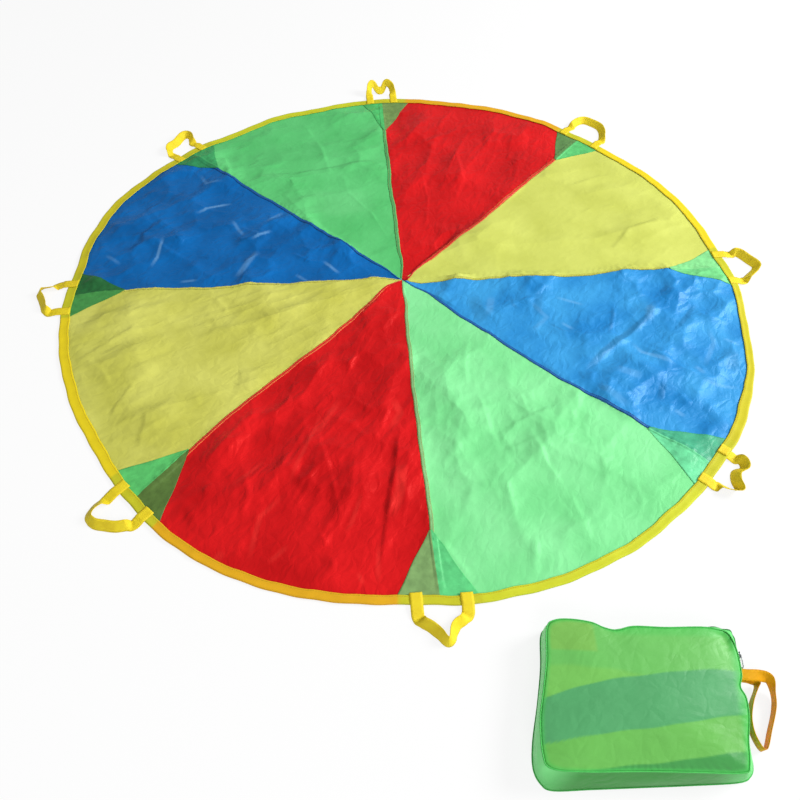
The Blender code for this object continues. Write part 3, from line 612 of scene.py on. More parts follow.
def makeLights():
    world = bpy.data.worlds.new("studio")
    bpy.context.scene.world = world
    world.use_nodes = True
    back = world.node_tree.nodes["Background"]
    back.inputs["Color"].default_value = (1, 1, 1, 1)
    # it lights at a third, and the camera sees it white
    path = addNode(world.node_tree, "LightPath")
    strength = addNode(world.node_tree, "MapRange", {"To Min": studio["skyLight"], "To Max": 1.0},
                       {"Value": path.outputs["Is Camera Ray"]})
    world.node_tree.links.new(strength.outputs["Result"], back.inputs["Strength"])
    addLamp("keyLight", (4.6, 0.8, 3.1), (0.2, -0.2, 0), 2.2, 340)
    addLamp("frontLight", (0.8, -4.2, 3.6), (0.1, -0.4, 0), 2.4, 80)


def makeCamera():
    bpy.ops.object.camera_add(location=studio["camera"])
    camera = bpy.context.object
    camera.data.sensor_width = 36
    camera.data.lens = studio["lens"]
    tilt, roll = math.radians(studio["tilt"]), math.radians(studio["roll"])
    turned = Matrix.Rotation(tilt, 3, "X") @ Matrix.Rotation(roll, 3, "Z")
    camera.rotation_euler = turned.to_euler()
    bpy.context.scene.camera = camera


floor = makeStage()
makeLights()
makeCamera()
bpy.context.scene.view_settings.view_transform = "Standard"
print("stage, light and camera set")


# The eight gores

def makeGore(number):
    rows, columns = canopy["rows"], canopy["columns"]
    s = np.linspace(0, 1, rows + 1)[:, None] ** 0.9
    t = np.linspace(0, 1, columns + 1)[None, :]
    bisector = canopy["firstSeam"] + (number + 0.5) * canopy["goreAngle"]
    # The rim is found at each column's angle, then each row is spread between its two seams.
    rimAngles = seamAngle(number, 0.9) + (seamAngle(number + 1, 0.9) - seamAngle(number, 0.9)) * t
    outer = canopy["radius"] + rimOffset(rimAngles) - canopy["hem"]
    radius = canopy["tipRadius"] + (outer - canopy["tipRadius"]) * s
    low, high = seamAngle(number, radius), seamAngle(number + 1, radius)
    angle = low + (high - low) * t
    x, y = radius * np.cos(angle), radius * np.sin(angle)
    z = clothHeight(x, y)
    # painted highlights and painted shade along the creases
    gleam, shade = paintedCreaseShares(goreNames[number], x, y)
    uv = np.stack([radius * np.sin(angle - bisector), radius * np.cos(angle - bisector)], -1).reshape(-1, 2)
    lap = lapShare(radius, t) if goreNames[number] == "gore_2_red" else 0.0
    z = z + middle["lapHeight"] * lap
    x, y = drawnToMiddle(x, y, lap)
    points = np.stack([x, y, z], -1).reshape(-1, 3)
    gore = meshPiece("cloth_" + goreNames[number], points, gridFaces(rows + 1, columns + 1), uv, goreCloth(number))
    paintPoints(gore, np.stack([gleam, shade, 0 * gleam, 1 + 0 * gleam], -1), "paintedCreaseLightShade")
    thicken(gore, canopy["cloth"])
    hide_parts(goreNames[number])
    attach(gore, "canopy")
    return gore


gores = [makeGore(number) for number in range(8)]
print("gores laid")


seamBand = {"cloth": 0.0006, "lift": 0.0006, "rows": 260, "columns": 7, "start": 0.007, "end": 0.874}
# Each seam's width, its cloth and its thread, as seen in the photograph; its fold lies on the anticlockwise side.
seamLooks = [
    (0.0065, "#C8C958", "#A9A83C"), (0.0095, "#CC2628", "#E8802C"), (0.0100, "#4FA35F", "#8FC66A"),
    (0.0085, "#175AA0", "#0F3F78"), (0.0065, "#D0CF62", "#B4B04A"), (0.0095, "#CC2226", "#EE9A40"),
    (0.0088, "#84BC7C", "#8C9A50"), (0.0075, "#2468AC", "#153F7C"),
]


# Corner patches, sheer green cloth sewn over each seam at the rim

patch = {"tipHalf": 0.003, "rows": 52, "columns": 48, "cloth": 0.0004, "lift": 0.0006}
# How far in each patch reaches, and how far along the rim on its clockwise and anticlockwise side, in metres.
patchCuts = [(0.180, 0.076, 0.086), (0.176, 0.083, 0.090), (0.204, 0.098, 0.072), (0.158, 0.088, 0.078),
             (0.164, 0.088, 0.086), (0.176, 0.092, 0.092), (0.163, 0.090, 0.082), (0.169, 0.078, 0.090)]
# Tint of the sheer patch over the cloth below it, clockwise side then anticlockwise side.
patchTints = [
    ("#6FCB80", "#84D88C"), ("#57BB6B", "#5E8A4F"), ("#6F9050", "#4DBB68"), ("#3FA864", "#2F8F58"),
    ("#256936", "#459349"), ("#5CC46B", "#597738"), ("#7DA364", "#5ECB7E"), ("#70DE9F", "#46AC83"),
]


# Sheer green taffeta, one layer over the gores: it takes on the colour of the cloth below.
def sheerTaffeta(name, clockwise, anticlockwise):
    made = taffeta(name, clockwise, clockwise, 0.42, 0.6)
    tree = made.node_tree
    shader = tree.nodes["Principled BSDF"]
    uv = addNode(tree, "UVMap", {"uv_map": "cloth"})
    parts = addNode(tree, "SeparateXYZ", links={"Vector": uv.outputs[0]})
    side = addNode(tree, "Math", {"operation": "GREATER_THAN", 1: 0.0}, {0: parts.outputs["X"]})
    under = addNode(tree, "MixRGB", {"Color1": linearColour(clockwise), "Color2": linearColour(anticlockwise)},
                    {"Fac": side.outputs[0]})
    # a turned edge, doubled and so a little darker, all round
    edge = addNode(tree, "Math", {"operation": "ABSOLUTE"}, {0: parts.outputs["Y"]})
    doubled = addNode(tree, "Math", {"operation": "LESS_THAN", 1: 0.0035}, {0: edge.outputs[0]})
    dim = addNode(tree, "MixRGB", {"blend_type": "MULTIPLY", "Color2": (0.88, 0.93, 0.88, 1)},
                  {"Fac": doubled.outputs[0], "Color1": under.outputs[0]})
    # painted light and shade: the sheer cloth is painted lighter and darker in soft random spots, as it looks lighter
    # where it stands off the cloth below
    spots = addNode(tree, "TexCoord").outputs["Object"]
    cloud = addNode(tree, "TexNoise", {"Scale": 55.0, "Detail": 3.0}, {"Vector": spots})
    tone = addNode(tree, "MapRange", {"From Min": 0.3, "From Max": 0.7, "To Min": 0.84, "To Max": 1.14},
                   {"Value": cloud.outputs["Fac"]})
    mottled = addNode(tree, "MixRGB", {"blend_type": "MULTIPLY", "Fac": 1.0},
                      {"Color1": dim.outputs[0], "Color2": tone.outputs["Result"]})
    tree.links.new(mottled.outputs[0], shader.inputs["Base Color"])
    return made


def makePatch(number):
    rows, columns = patch["rows"], patch["columns"]
    s = np.linspace(0, 1, rows + 1)[:, None]
    t = np.linspace(-1, 1, columns + 1)[None, :]
    seamAtRim = seamAngle(number, 0.9)
    reach, clockwise, anticlockwise = patchCuts[number]
    base = np.where(t < 0, clockwise, anticlockwise)
    outer = canopy["radius"] + rimOffset(seamAtRim + t * base / 0.9) - canopy["hem"] - 0.001
    apex = canopy["radius"] - reach
    radius = apex + (outer - apex) * s
    # its edges were cut and turned by hand
    waver = 0.0016 * np.sin(s * 8 + 3 * number + np.sign(t)) * np.sin(s * math.pi)
    half = patch["tipHalf"] + (base - patch["tipHalf"]) * s + waver
    sideways = t * half
    angle = seamAngle(number, radius) + sideways / radius
    x, y = radius * np.cos(angle), radius * np.sin(angle)
    # it rides over the felled seam below it
    seamWidth = seamLooks[number][0]
    overSeam = 0.0015 * eased((seamWidth * 0.5 + 0.0045 - np.abs(sideways - seamWidth * 0.42)) / 0.003)
    overSeam = overSeam * eased((outer - radius - 0.021) / 0.012)
    z = clothHeight(x, y) + canopy["cloth"] + patch["lift"] - 0.0003 + overSeam
    points = np.stack([x, y, z], -1).reshape(-1, 3)
    fromEdge = (half - np.abs(sideways))
    uv = np.stack([sideways + 0 * s, fromEdge + 0 * s], -1).reshape(-1, 2)
    piece = meshPiece(f"patch_{number + 1}", points, gridFaces(rows + 1, columns + 1), uv,
                      sheerTaffeta(f"sheerGreenTaffeta{number + 1}", *patchTints[number]))
    thicken(piece, patch["cloth"])
    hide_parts(f"corner_patch_{number + 1}")
    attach(piece, "canopy")
    return piece


patches = [makePatch(number) for number in range(8)]
print("patches sewn")


# Felled seams: one cloth's edge folded over the other's and stitched twice

# Lockstitch: dashes as long as a stitch, wherever a point lies close to the row.
def stitchDashes(tree, offRow, alongRow, length, share):
    distance = addNode(tree, "Math", {"operation": "ABSOLUTE"}, {0: offRow})
    onRow = addNode(tree, "Math", {"operation": "LESS_THAN", 1: 0.0007}, {0: distance.outputs[0]})
    along = addNode(tree, "Math", {"operation": "MULTIPLY", 1: 1 / length}, {0: alongRow})
    step = addNode(tree, "Math", {"operation": "FRACT"}, {0: along.outputs[0]})
    dash = addNode(tree, "Math", {"operation": "LESS_THAN", 1: share}, {0: step.outputs[0]})
    return addNode(tree, "Math", {"operation": "MULTIPLY"}, {0: onRow.outputs[0], 1: dash.outputs[0]})


# Four layers of taffeta pressed flat, with two rows of lockstitch near the edges.
# Stitches are drawn 4.5 mm long, where real ones are 3 mm, so that they show.
def stitchedSeam(name, cloth, thread, halfWidth):
    made = taffeta(name, cloth, cloth, 0.42, 0.4)
    tree = made.node_tree
    shader = tree.nodes["Principled BSDF"]
    uv = addNode(tree, "UVMap", {"uv_map": "cloth"})
    parts = addNode(tree, "SeparateXYZ", links={"Vector": uv.outputs[0]})
    across = addNode(tree, "Math", {"operation": "ABSOLUTE"}, {0: parts.outputs["X"]})
    offRow = addNode(tree, "Math", {"operation": "SUBTRACT", 1: halfWidth * 0.62}, {0: across.outputs[0]})
    stitch = stitchDashes(tree, offRow.outputs[0], parts.outputs["Y"], 0.0045, 0.68)
    colour = addNode(tree, "MixRGB", {"Color1": linearColour(cloth), "Color2": linearColour(thread)},
                     {"Fac": stitch.outputs[0]})
    tree.links.new(colour.outputs[0], shader.inputs["Base Color"])
    raised = addNode(tree, "Bump", {"Strength": 0.8, "Distance": 0.0006}, {"Height": stitch.outputs[0]})
    for link in list(shader.inputs["Normal"].links):
        tree.links.new(link.from_socket, raised.inputs["Normal"])
    tree.links.new(raised.outputs[0], shader.inputs["Normal"])
    return made


def makeSeam(number):
    rows, columns = seamBand["rows"], seamBand["columns"]
    full, cloth, thread = seamLooks[number]
    end = seamBand["end"] + float(rimOffset(seamAngle(number, 0.9))) - 0.004
    radius = np.linspace(seamBand["start"], end, rows)[:, None]
    share = np.linspace(-0.5, 0.5, columns)[None, :]
    width = full * (0.35 + 0.65 * eased(radius / 0.16))
    # the fold's edge wanders a little, as it was fed through the machine by hand
    drift = 0.0009 * np.sin(radius * 31 + number) + 0.0006 * np.sin(radius * 83 + 2 * number)
    sideways = width * (share + 0.42) + drift
    angle = seamAngle(number, radius) + sideways / radius
    x, y = radius * np.cos(angle), radius * np.sin(angle)
    crown = seamBand["lift"] * (1 - (2 * share) ** 4) + 0.0001
    # both ends sink: one under the lapping tip, one under the rim tape
    sunk = 0.0004 * eased(1 - (radius[-1] - radius) / 0.012)
    z = clothHeight(x, y) + canopy["cloth"] + crown + 0.00018 * np.sin(radius * math.tau / 0.0045) - sunk
    # the clockwise seam of the lapping gore goes with it
    lap = lapShare(radius, 0.0) if number == 1 else 0.0
    z = z + middle["lapHeight"] * lap
    x, y = drawnToMiddle(x, y, lap)
    points = np.stack([x, y, z], -1).reshape(-1, 3)
    uv = np.stack([share * width, radius + 0 * share], -1).reshape(-1, 2)
    piece = meshPiece(f"seam_{number + 1}", points, gridFaces(rows, columns), uv,
                      stitchedSeam(f"felledSeam{number + 1}", cloth, thread, full / 2))
    thicken(piece, seamBand["cloth"])
    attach(piece, "canopy")
    return piece


seams = [makeSeam(number) for number in range(8)]
print("seams felled")


# Rim tape, folded over the hem all round

tape = {"width": 0.024, "wall": 0.0006, "steps": 900, "seatLow": 0.0008}
tapeTints = {"yellow": "#ECD41E", "red": "#E4AC1C", "green": "#CED22A", "blue": "#D0C626", "patch": "#C8C628"}


# Sheer polyester tape, lightly ribbed: bright yellow, and tinted by the cloth inside its fold.
def sheerTape():
    made, tree, shader = newMaterial("yellowRimTape")
    shader.inputs["Roughness"].default_value = 0.55
    shader.inputs["Specular IOR Level"].default_value = 0.2
    tint = addNode(tree, "Attribute", {"attribute_name": "tint"})
    uv = addNode(tree, "UVMap", {"uv_map": "cloth"})
    parts = addNode(tree, "SeparateXYZ", links={"Vector": uv.outputs[0]})
    # cross ribs 2 mm apart, real ones 0.6 mm
    ribs = addNode(tree, "TexWave", {"Scale": 157.0, "bands_direction": "Y"}, {"Vector": uv.outputs[0]})
    spots = addNode(tree, "TexCoord").outputs["Object"]
    cloud = addNode(tree, "TexNoise", {"Scale": 38.0, "Detail": 3.0}, {"Vector": spots})
    tone = addNode(tree, "MapRange", {"To Min": 0.86, "To Max": 1.06}, {"Value": cloud.outputs["Fac"]})
    shaded = addNode(tree, "MixRGB", {"blend_type": "MULTIPLY", "Fac": 1.0},
                     {"Color1": tint.outputs["Color"], "Color2": tone.outputs["Result"]})
    row = addNode(tree, "Math", {"operation": "SUBTRACT", 1: 0.0035}, {0: parts.outputs["X"]})
    stitch = stitchDashes(tree, row.outputs[0], parts.outputs["Y"], 0.005, 0.7)
    colour = addNode(tree, "MixRGB", {"Color2": linearColour("#C9A51E")},
                     {"Fac": stitch.outputs[0], "Color1": shaded.outputs[0]})
    ribBump = addNode(tree, "Bump", {"Strength": 0.25, "Distance": 0.0004}, {"Height": ribs.outputs["Fac"]})
    sunk = addNode(tree, "Bump", {"Strength": 0.7, "Distance": 0.0008, "invert": True},
                   {"Height": stitch.outputs[0], "Normal": ribBump.outputs[0]})
    tree.links.new(colour.outputs[0], shader.inputs["Base Color"])
    tree.links.new(sunk.outputs[0], shader.inputs["Normal"])
    return made


def tapeTint(angle):
    place = ((angle - canopy["firstSeam"]) / canopy["goreAngle"]) % 8
    for number in range(9):
        edge = float(seamAngle(number, 0.9)) - canopy["firstSeam"]
        if place * canopy["goreAngle"] < edge:
            break
    gore = (number - 1) % 8
    tint = linearColour(tapeTints[goreColours[gore]])
    near = min(abs((angle - float(seamAngle(n, 0.9)) + math.pi) % math.tau - math.pi) for n in range(8))
    share = float(eased((0.094 - near) / 0.006))
    return mixColours(tint, linearColour(tapeTints["patch"]), share)


def makeTape():
    steps = tape["steps"]
    angles = np.linspace(0, math.tau, steps, endpoint=False)[:, None]
    outer = canopy["radius"] + rimOffset(angles)
    # section from the top's inner edge, over the fold, to the underside's inner edge: inset, height share
    inset = np.array([1.0, 0.96, 0.85, 0.7, 0.5, 0.3, 0.14, 0.05, 0.0, 0.05, 0.3, 0.7, 1.0]) * tape["width"]
    wave = 0.0006 * np.sin(angles * 61) + 0.0004 * np.sin(angles * 143 + 1)
    # on the near side and at the right the tape has rolled under, so less of it shows
    rolled = 0.25 * eased((-np.sin(angles) - 0.55) / 0.4) + 0.25 * eased((np.cos(angles + 0.21) - 0.97) / 0.02)
    radius = outer - inset[None, :] * (1 + 20 * wave - rolled)
    x, y = radius * np.cos(angles), radius * np.sin(angles)
    seat = clothHeight(x, y)
    swell = np.array([0.35, 0.8, 0.9, 0.55, 0.5, 0.7, 1.0, 0.7, 0.0])[None, :] * 0.0011
    top = seat[:, :9] + 0.0016 + swell
    fold = seat[:, 8:9] * 0.5 + 0.0012
    z = np.concatenate([top[:, :8], fold, np.full((steps, 4), tape["seatLow"])], 1)
    points = np.stack([x, y, z], -1).reshape(-1, 3)
    uv = np.stack([tape["width"] - inset[None, :] + 0 * angles, angles * canopy["radius"] + 0 * inset[None, :]], -1)
    ring = meshPiece("rim_tape", points, gridFaces(steps, len(inset), joinRows=True), uv.reshape(-1, 2), sheerTape())
    colours = np.repeat(np.array([tapeTint(float(a)) for a in angles[:, 0]]), len(inset), axis=0)
    paintPoints(ring, colours)
    thicken(ring, tape["wall"], -1.0)
    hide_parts("rim_binding")
    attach(ring, "canopy")
    return ring


rimTape = makeTape()
print("rim taped")


# Webbing handles: each one strip, sewn down, out round its loop and sewn down again

strap = {"width": 0.025, "thickness": 0.0013, "sewn": 0.0235, "legSpacing": 0.096, "loopReach": 0.064,
         "dropRun": 0.018, "flatRun": 0.013, "level": 0.0041, "hinge": 0.005, "steps": 78, "turnShare": 1.7,
         "roomShare": 0.7, "rollReach": 9}
# Azimuth, then points: along the rim, outwards and lift, as shares of the leg spacing, reach and width.
handleRuns = [
    (4.0, [(0.55, 0.0, 0), (0.57, 0.24, 0), (0.57, 0.47, 0), (0.42, 0.66, 0), (0.22, 0.84, 0), (0.02, 1.0, 0),
           (-0.16, 0.85, 0), (-0.33, 0.56, 0), (-0.47, 0.31, 0), (-0.54, 0.13, 0), (-0.55, 0.0, 0)]),
    (49.65, [(0.6, 0.0, 0), (0.6, 0.3, 0), (0.59, 0.75, 0), (0.45, 1.1, 0), (0.1, 1.17, 0), (-0.16, 1.1, 0),
             (-0.38, 0.8, 0), (-0.53, 0.42, 0), (-0.61, 0.2, 0), (-0.61, 0.0, 0)]),
    (95.65, [(0.42, 0.0, 0), (0.42, 0.22, 0.1), (0.4, 0.55, 0.6), (0.28, 0.72, 0.8), (0.1, 0.58, 0.05),
             (-0.05, 0.6, 0.05), (-0.2, 0.76, 0.8), (-0.37, 0.6, 0.6), (-0.42, 0.22, 0.1), (-0.42, 0.0, 0)]),
    (141.3, [(0.44, 0.0, 0), (0.42, 0.22, 0), (0.36, 0.5, 0), (0.2, 0.72, 0), (-0.06, 0.75, 0), (-0.34, 0.92, 0),
             (-0.56, 0.95, 0), (-0.62, 0.7, 0), (-0.5, 0.38, 0), (-0.45, 0.18, 0), (-0.44, 0.0, 0)]),
    (-173.7, [(-0.5, 0.0, 0), (-0.48, 0.2, 0), (-0.4, 0.45, 0), (-0.36, 0.72, 0), (-0.2, 0.82, 0),
              (0.02, 0.66, 0), (0.24, 0.52, 0), (0.42, 0.42, 0), (0.51, 0.22, 0), (0.51, 0.0, 0)]),
    (-129.3, [(-0.47, 0.0, 0), (-0.47, 0.25, 0), (-0.49, 0.6, 0), (-0.4, 0.93, 0), (-0.17, 0.97, 0),
              (0.06, 0.78, 0), (0.24, 0.6, 0), (0.36, 0.4, 0), (0.46, 0.18, 0), (0.47, 0.0, 0)]),
    (-84.8, [(-0.5, 0.0, 0), (-0.49, 0.18, 0), (-0.41, 0.36, 0), (-0.27, 0.5, 0), (-0.12, 0.72, 0),
             (-0.03, 0.91, 0), (0.04, 0.99, 0), (0.12, 0.91, 0), (0.16, 0.72, 0), (0.24, 0.5, 0),
             (0.39, 0.36, 0), (0.49, 0.18, 0), (0.51, 0.0, 0)]),
    (-39.9, [(0.48, 0.0, 0), (0.48, 0.2, 0), (0.49, 0.46, 0), (0.34, 0.62, 0), (0.12, 0.48, 0), (-0.1, 0.62, 0),
             (-0.27, 0.86, 0), (-0.38, 0.62, 0), (-0.43, 0.3, 0), (-0.48, 0.16, 0), (-0.48, 0.0, 0)]),
]


# Flat polypropylene webbing: matt, with fine cross ribs and darker edges.
# Ribs are drawn 2 mm apart, where real ones are 1 mm.
def ribbedWebbing(name, colour, shade, halfWidth):
    made, tree, shader = newMaterial(name)
    shader.inputs["Roughness"].default_value = 0.6
    shader.inputs["Specular IOR Level"].default_value = 0.25
    uv = addNode(tree, "UVMap", {"uv_map": "cloth"})
    parts = addNode(tree, "SeparateXYZ", links={"Vector": uv.outputs[0]})
    ribs = addNode(tree, "TexWave", {"Scale": 157.0, "bands_direction": "Y"}, {"Vector": uv.outputs[0]})
    grain = addNode(tree, "TexWave", {"Scale": 210.0, "bands_direction": "X", "Distortion": 1.0},
                    {"Vector": uv.outputs[0]})
    spots = addNode(tree, "TexCoord").outputs["Object"]
    cloud = addNode(tree, "TexNoise", {"Scale": 60.0, "Detail": 3.0}, {"Vector": spots})
    across = addNode(tree, "Math", {"operation": "ABSOLUTE"}, {0: parts.outputs["X"]})
    edge = addNode(tree, "MapRange", {"From Min": halfWidth * 0.8, "From Max": halfWidth, "To Max": 0.55},
                   {"Value": across.outputs[0]})
    base = addNode(tree, "MixRGB", {"Color1": linearColour(shade), "Color2": linearColour(colour)},
                   {"Fac": cloud.outputs["Fac"]})
    # the colour runs darker towards both edges
    darkerEdges = addNode(tree, "MixRGB", {"Color2": linearColour(shade)},
                   {"Fac": edge.outputs["Result"], "Color1": base.outputs[0]})
    ribShade = addNode(tree, "MapRange", {"To Min": 0.88, "To Max": 1.05}, {"Value": ribs.outputs["Fac"]})
    ribbed = addNode(tree, "MixRGB", {"blend_type": "MULTIPLY", "Fac": 1.0},
                     {"Color1": darkerEdges.outputs[0], "Color2": ribShade.outputs["Result"]})
    first = addNode(tree, "Bump", {"Strength": 0.5, "Distance": 0.0005}, {"Height": ribs.outputs["Fac"]})
    second = addNode(tree, "Bump", {"Strength": 0.25, "Distance": 0.0003},
                     {"Height": grain.outputs["Fac"], "Normal": first.outputs[0]})
    tree.links.new(ribbed.outputs[0], shader.inputs["Base Color"])
    tree.links.new(second.outputs[0], shader.inputs["Normal"])
    return made


# Evenly spaced points on a smooth curve through the given points; a point may carry more than x, y and z.
def smoothRun(points, count):
    points = np.array(points, dtype=float)
    ends = np.vstack([2 * points[0] - points[1], points, 2 * points[-1] - points[-2]])
    fine = []
    for i in range(1, len(ends) - 2):
        fine.append(curveStretch(*ends[i - 1:i + 3], 40))
    fine = np.vstack(fine + [points[-1:]])
    lengths = np.concatenate([[0], np.cumsum(np.linalg.norm(np.diff(fine[:, :3], axis=0), axis=1))])
    wanted = np.linspace(0, lengths[-1], count + 1)
    return np.stack([np.interp(wanted, lengths, fine[:, k]) for k in range(fine.shape[1])], 1), lengths[-1]


def averaged(values, reach):
    found = []
    for i in range(len(values)):
        near = min(reach, i, len(values) - 1 - i)
        found.append(np.mean(values[i - near:i + near + 1], axis=0))
    return np.array(found)


def planWays(run, first, last):
    ways = np.gradient(run[:, :2], axis=0)
    ways = np.hstack([ways, np.zeros((len(run), 1))])
    ways /= np.maximum(np.linalg.norm(ways, axis=1), 1e-9)[:, None]
    ways[0], ways[-1] = first, last
    return ways


def strapRolls(run, ways, width, length):
    count = len(run)
    step = length / (count - 1)
    rolls, least = [], []
    for i in range(count):
        low, high = max(i - 3, 0), min(i + 3, count - 1)
        turn = math.acos(max(-1.0, min(1.0, float(ways[low] @ ways[high]))))
        radius = (high - low) * step / turn if turn > 1e-6 else 1e9
        rolls.append(math.acos(min(1.0, radius / (width * strap["turnShare"]))))
        far = np.abs(np.arange(count) - i) * step > width
        gap = np.linalg.norm(run[far, :2] - run[i, :2], axis=1).min() if far.any() else 1e9
        least.append(math.acos(min(1.0, min(radius, gap / 2) / (width * strap["roomShare"]))))
    return np.maximum(averaged(rolls, strap["rollReach"]), averaged(least, 3))


# Section of a soft strap: a flat band with rounded edges.
def strapSections(run, ways, rolls, width, thickness):
    across = np.array([-1, -0.985, -0.6, 0, 0.6, 0.985, 1, 0.985, 0.6, 0, -0.6, -0.985]) * width / 2
    over = np.array([0, 0.5, 0.5, 0.5, 0.5, 0.5, 0, -0.5, -0.5, -0.5, -0.5, -0.5]) * thickness
    side = np.stack([-ways[:, 1], ways[:, 0], 0 * rolls], 1)
    wide = side * np.cos(rolls)[:, None] + np.array([0, 0, 1.0]) * np.sin(rolls)[:, None]
    thick = np.cross(ways, wide)
    thick /= np.linalg.norm(thick, axis=1)[:, None]
    return run[:, None, :3] + wide[:, None, :] * across[None, :, None] + thick[:, None, :] * over[None, :, None], across


def strapPiece(name, run, ways, rolls, width, thickness, material, place, turn):
    sections, across = strapSections(run, ways, rolls, width, thickness)
    rows, columns = sections.shape[:2]
    cosTurn, sinTurn = math.cos(turn), math.sin(turn)
    flat = sections.reshape(-1, 3)
    points = np.stack([flat[:, 0] * cosTurn - flat[:, 1] * sinTurn + place[0],
                       flat[:, 0] * sinTurn + flat[:, 1] * cosTurn + place[1], flat[:, 2] + place[2]], 1)
    gone = np.concatenate([[0], np.cumsum(np.linalg.norm(np.diff(run[:, :3], axis=0), axis=1))])
    uv = np.stack([np.tile(across, rows), np.repeat(gone, columns)], 1)
    faces = [tuple(f) for f in gridFaces(rows, columns, joinColumns=True)]
    faces += [tuple(range(columns)), tuple(range(rows * columns - 1, (rows - 1) * columns - 1, -1))]
    piece = meshPiece(name, points, faces, uv, material)
    turnOutwards(piece)
    return piece


webbing = ribbedWebbing("yellowWebbing", "#F7E52C", "#E8C820", strap["width"] / 2)


def makeHandle(number, azimuthDeg, shares):
    azimuth = math.radians(azimuthDeg)
    points = [(0.0003 + out * strap["loopReach"], along * strap["legSpacing"], lift * strap["width"])
              for along, out, lift in shares]
    run, length = smoothRun(points, strap["steps"])
    outwards = np.array([1.0, 0, 0])
    ways = planWays(run, outwards, -outwards)
    rolls = strapRolls(run, ways, strap["width"], length)
    gone = np.linspace(0, length, len(run))
    rolls = rolls * eased((np.minimum(gone, length - gone) - strap["flatRun"]) / strap["flatRun"])
    onFloor = (strap["width"] * np.sin(rolls) + strap["thickness"] * np.cos(rolls)) / 2
    drop = eased((run[:, 0] - 0.0003) / strap["dropRun"])
    dropping = strap["level"] + (strap["thickness"] / 2 - strap["level"]) * drop
    run[:, 2] = np.maximum(onFloor, dropping) + np.maximum(run[:, 2], 0)
    # the sewn ends reach in over the tape, following its sway
    ends = []
    for spot, reverse in ((run[0], True), (run[-1], False)):
        out = np.linspace(-0.004, -strap["sewn"] - 0.001, 9)
        angle = azimuth + spot[1] / canopy["radius"]
        sway = min(0.0, float(rimOffset(angle)))
        rows = []
        for value in out:
            x = value + sway * eased(-value / strap["sewn"])
            world = polar(canopy["radius"] + x, azimuth)
            wx = world.x - spot[1] * math.sin(azimuth)
            wy = world.y + spot[1] * math.cos(azimuth)
            seat = float(clothHeight(np.array([wx]), np.array([wy]))[0]) + 0.0037
            rows.append((x, spot[1], max(seat, strap["level"] * float(1 - eased(-value / 0.02)))))
        ends.append(rows[::-1] if reverse else rows)
    whole = np.vstack([ends[0], run, ends[1]])
    lead = len(ends[0])
    allWays = np.vstack([np.tile(outwards, (lead, 1)), ways, np.tile(-outwards, (lead, 1))])
    allRolls = np.concatenate([np.zeros(lead), rolls, np.zeros(lead)])
    piece = strapPiece(f"handle_{number}_webbing", whole, allWays, allRolls, strap["width"], strap["thickness"],
                       webbing, polar(canopy["radius"], azimuth), azimuth)
    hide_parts(f"handle_loop_{number}", f"handle_sewn_end_{number}a", f"handle_sewn_end_{number}b")
    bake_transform(piece)


for number, details in enumerate(handleRuns, 1):
    makeHandle(number, *details)
print("handles sewn")


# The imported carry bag, lying on its back

# Outlines in millimetres, anticlockwise from the near right corner: where the front's piping runs, and the foot.
bagOutline = {
    "centre": (0.4152, -1.0551),
    "top": [(549, -1168), (563, -1157), (572, -1120), (583, -1086), (587, -1056), (582, -1038), (590, -1018),
            (593, -989), (592, -965), (585, -947), (567, -941), (540, -938), (476, -940), (420, -939), (388, -946),
            (366, -942), (345, -933), (310, -928), (280, -930), (264, -944), (257, -1000), (246, -1050),
            (236, -1094), (234, -1145), (245, -1166), (300, -1170), (387, -1168), (470, -1168)],
    "foot": [(560, -1175), (583, -1166), (592, -1148), (592, -1110), (597, -1060), (603, -1010), (610, -965),
             (604, -944), (588, -938), (540, -936), (470, -938), (380, -937), (300, -928), (275, -930), (262, -945),
             (256, -1000), (244, -1060), (229, -1122), (226, -1160), (236, -1182), (255, -1191), (320, -1188),
             (399, -1184), (480, -1180)],
    "floor": 0.0012,
    "low": 0.0030,
    "high": 0.0520,
    "crown": 0.0065,
    "steps": 360,
    "rings": 58,
}
sidePlace = {"root": (0.6019, -1.0117, 0.029), "turn": -0.10074}
# How far the wall stands out beside the zip, millimetres: just under the slider along its run, then round the corner.
zipSide = {"angles": [0.31, 0.34, 0.383, 0.409, 0.434, 0.450, 0.466, 0.481, 0.497, 0.53, 0.57, 0.63, 0.72, 0.84, 1.0],
           "out": [0.0, 0.0, 0.1, 0.4, 1.1, 1.8, 2.8, 4.1, 5.6, 8.4, 10.5, 11.0, 9.0, 4.0, 0.0]}


# Distance of an outline from the bag's middle, for each direction round it.
def outlineReach(points, angles):
    cx, cy = bagOutline["centre"]
    ring = np.array(points, dtype=float) / 1000
    smoothRing = []
    count = len(ring)
    for i in range(count):
        smoothRing.append(curveStretch(ring[i - 1], ring[i], ring[(i + 1) % count], ring[(i + 2) % count], 12))
    smoothRing = np.vstack(smoothRing)
    turned = np.arctan2(smoothRing[:, 1] - cy, smoothRing[:, 0] - cx)
    reach = np.hypot(smoothRing[:, 0] - cx, smoothRing[:, 1] - cy)
    order = np.argsort(turned)
    return np.interp(angles, turned[order], reach[order], period=math.tau)


bagAngles = np.linspace(-math.pi, math.pi, bagOutline["steps"], endpoint=False)
topReach = outlineReach(bagOutline["top"], bagAngles)
footReach = outlineReach(bagOutline["foot"], bagAngles)


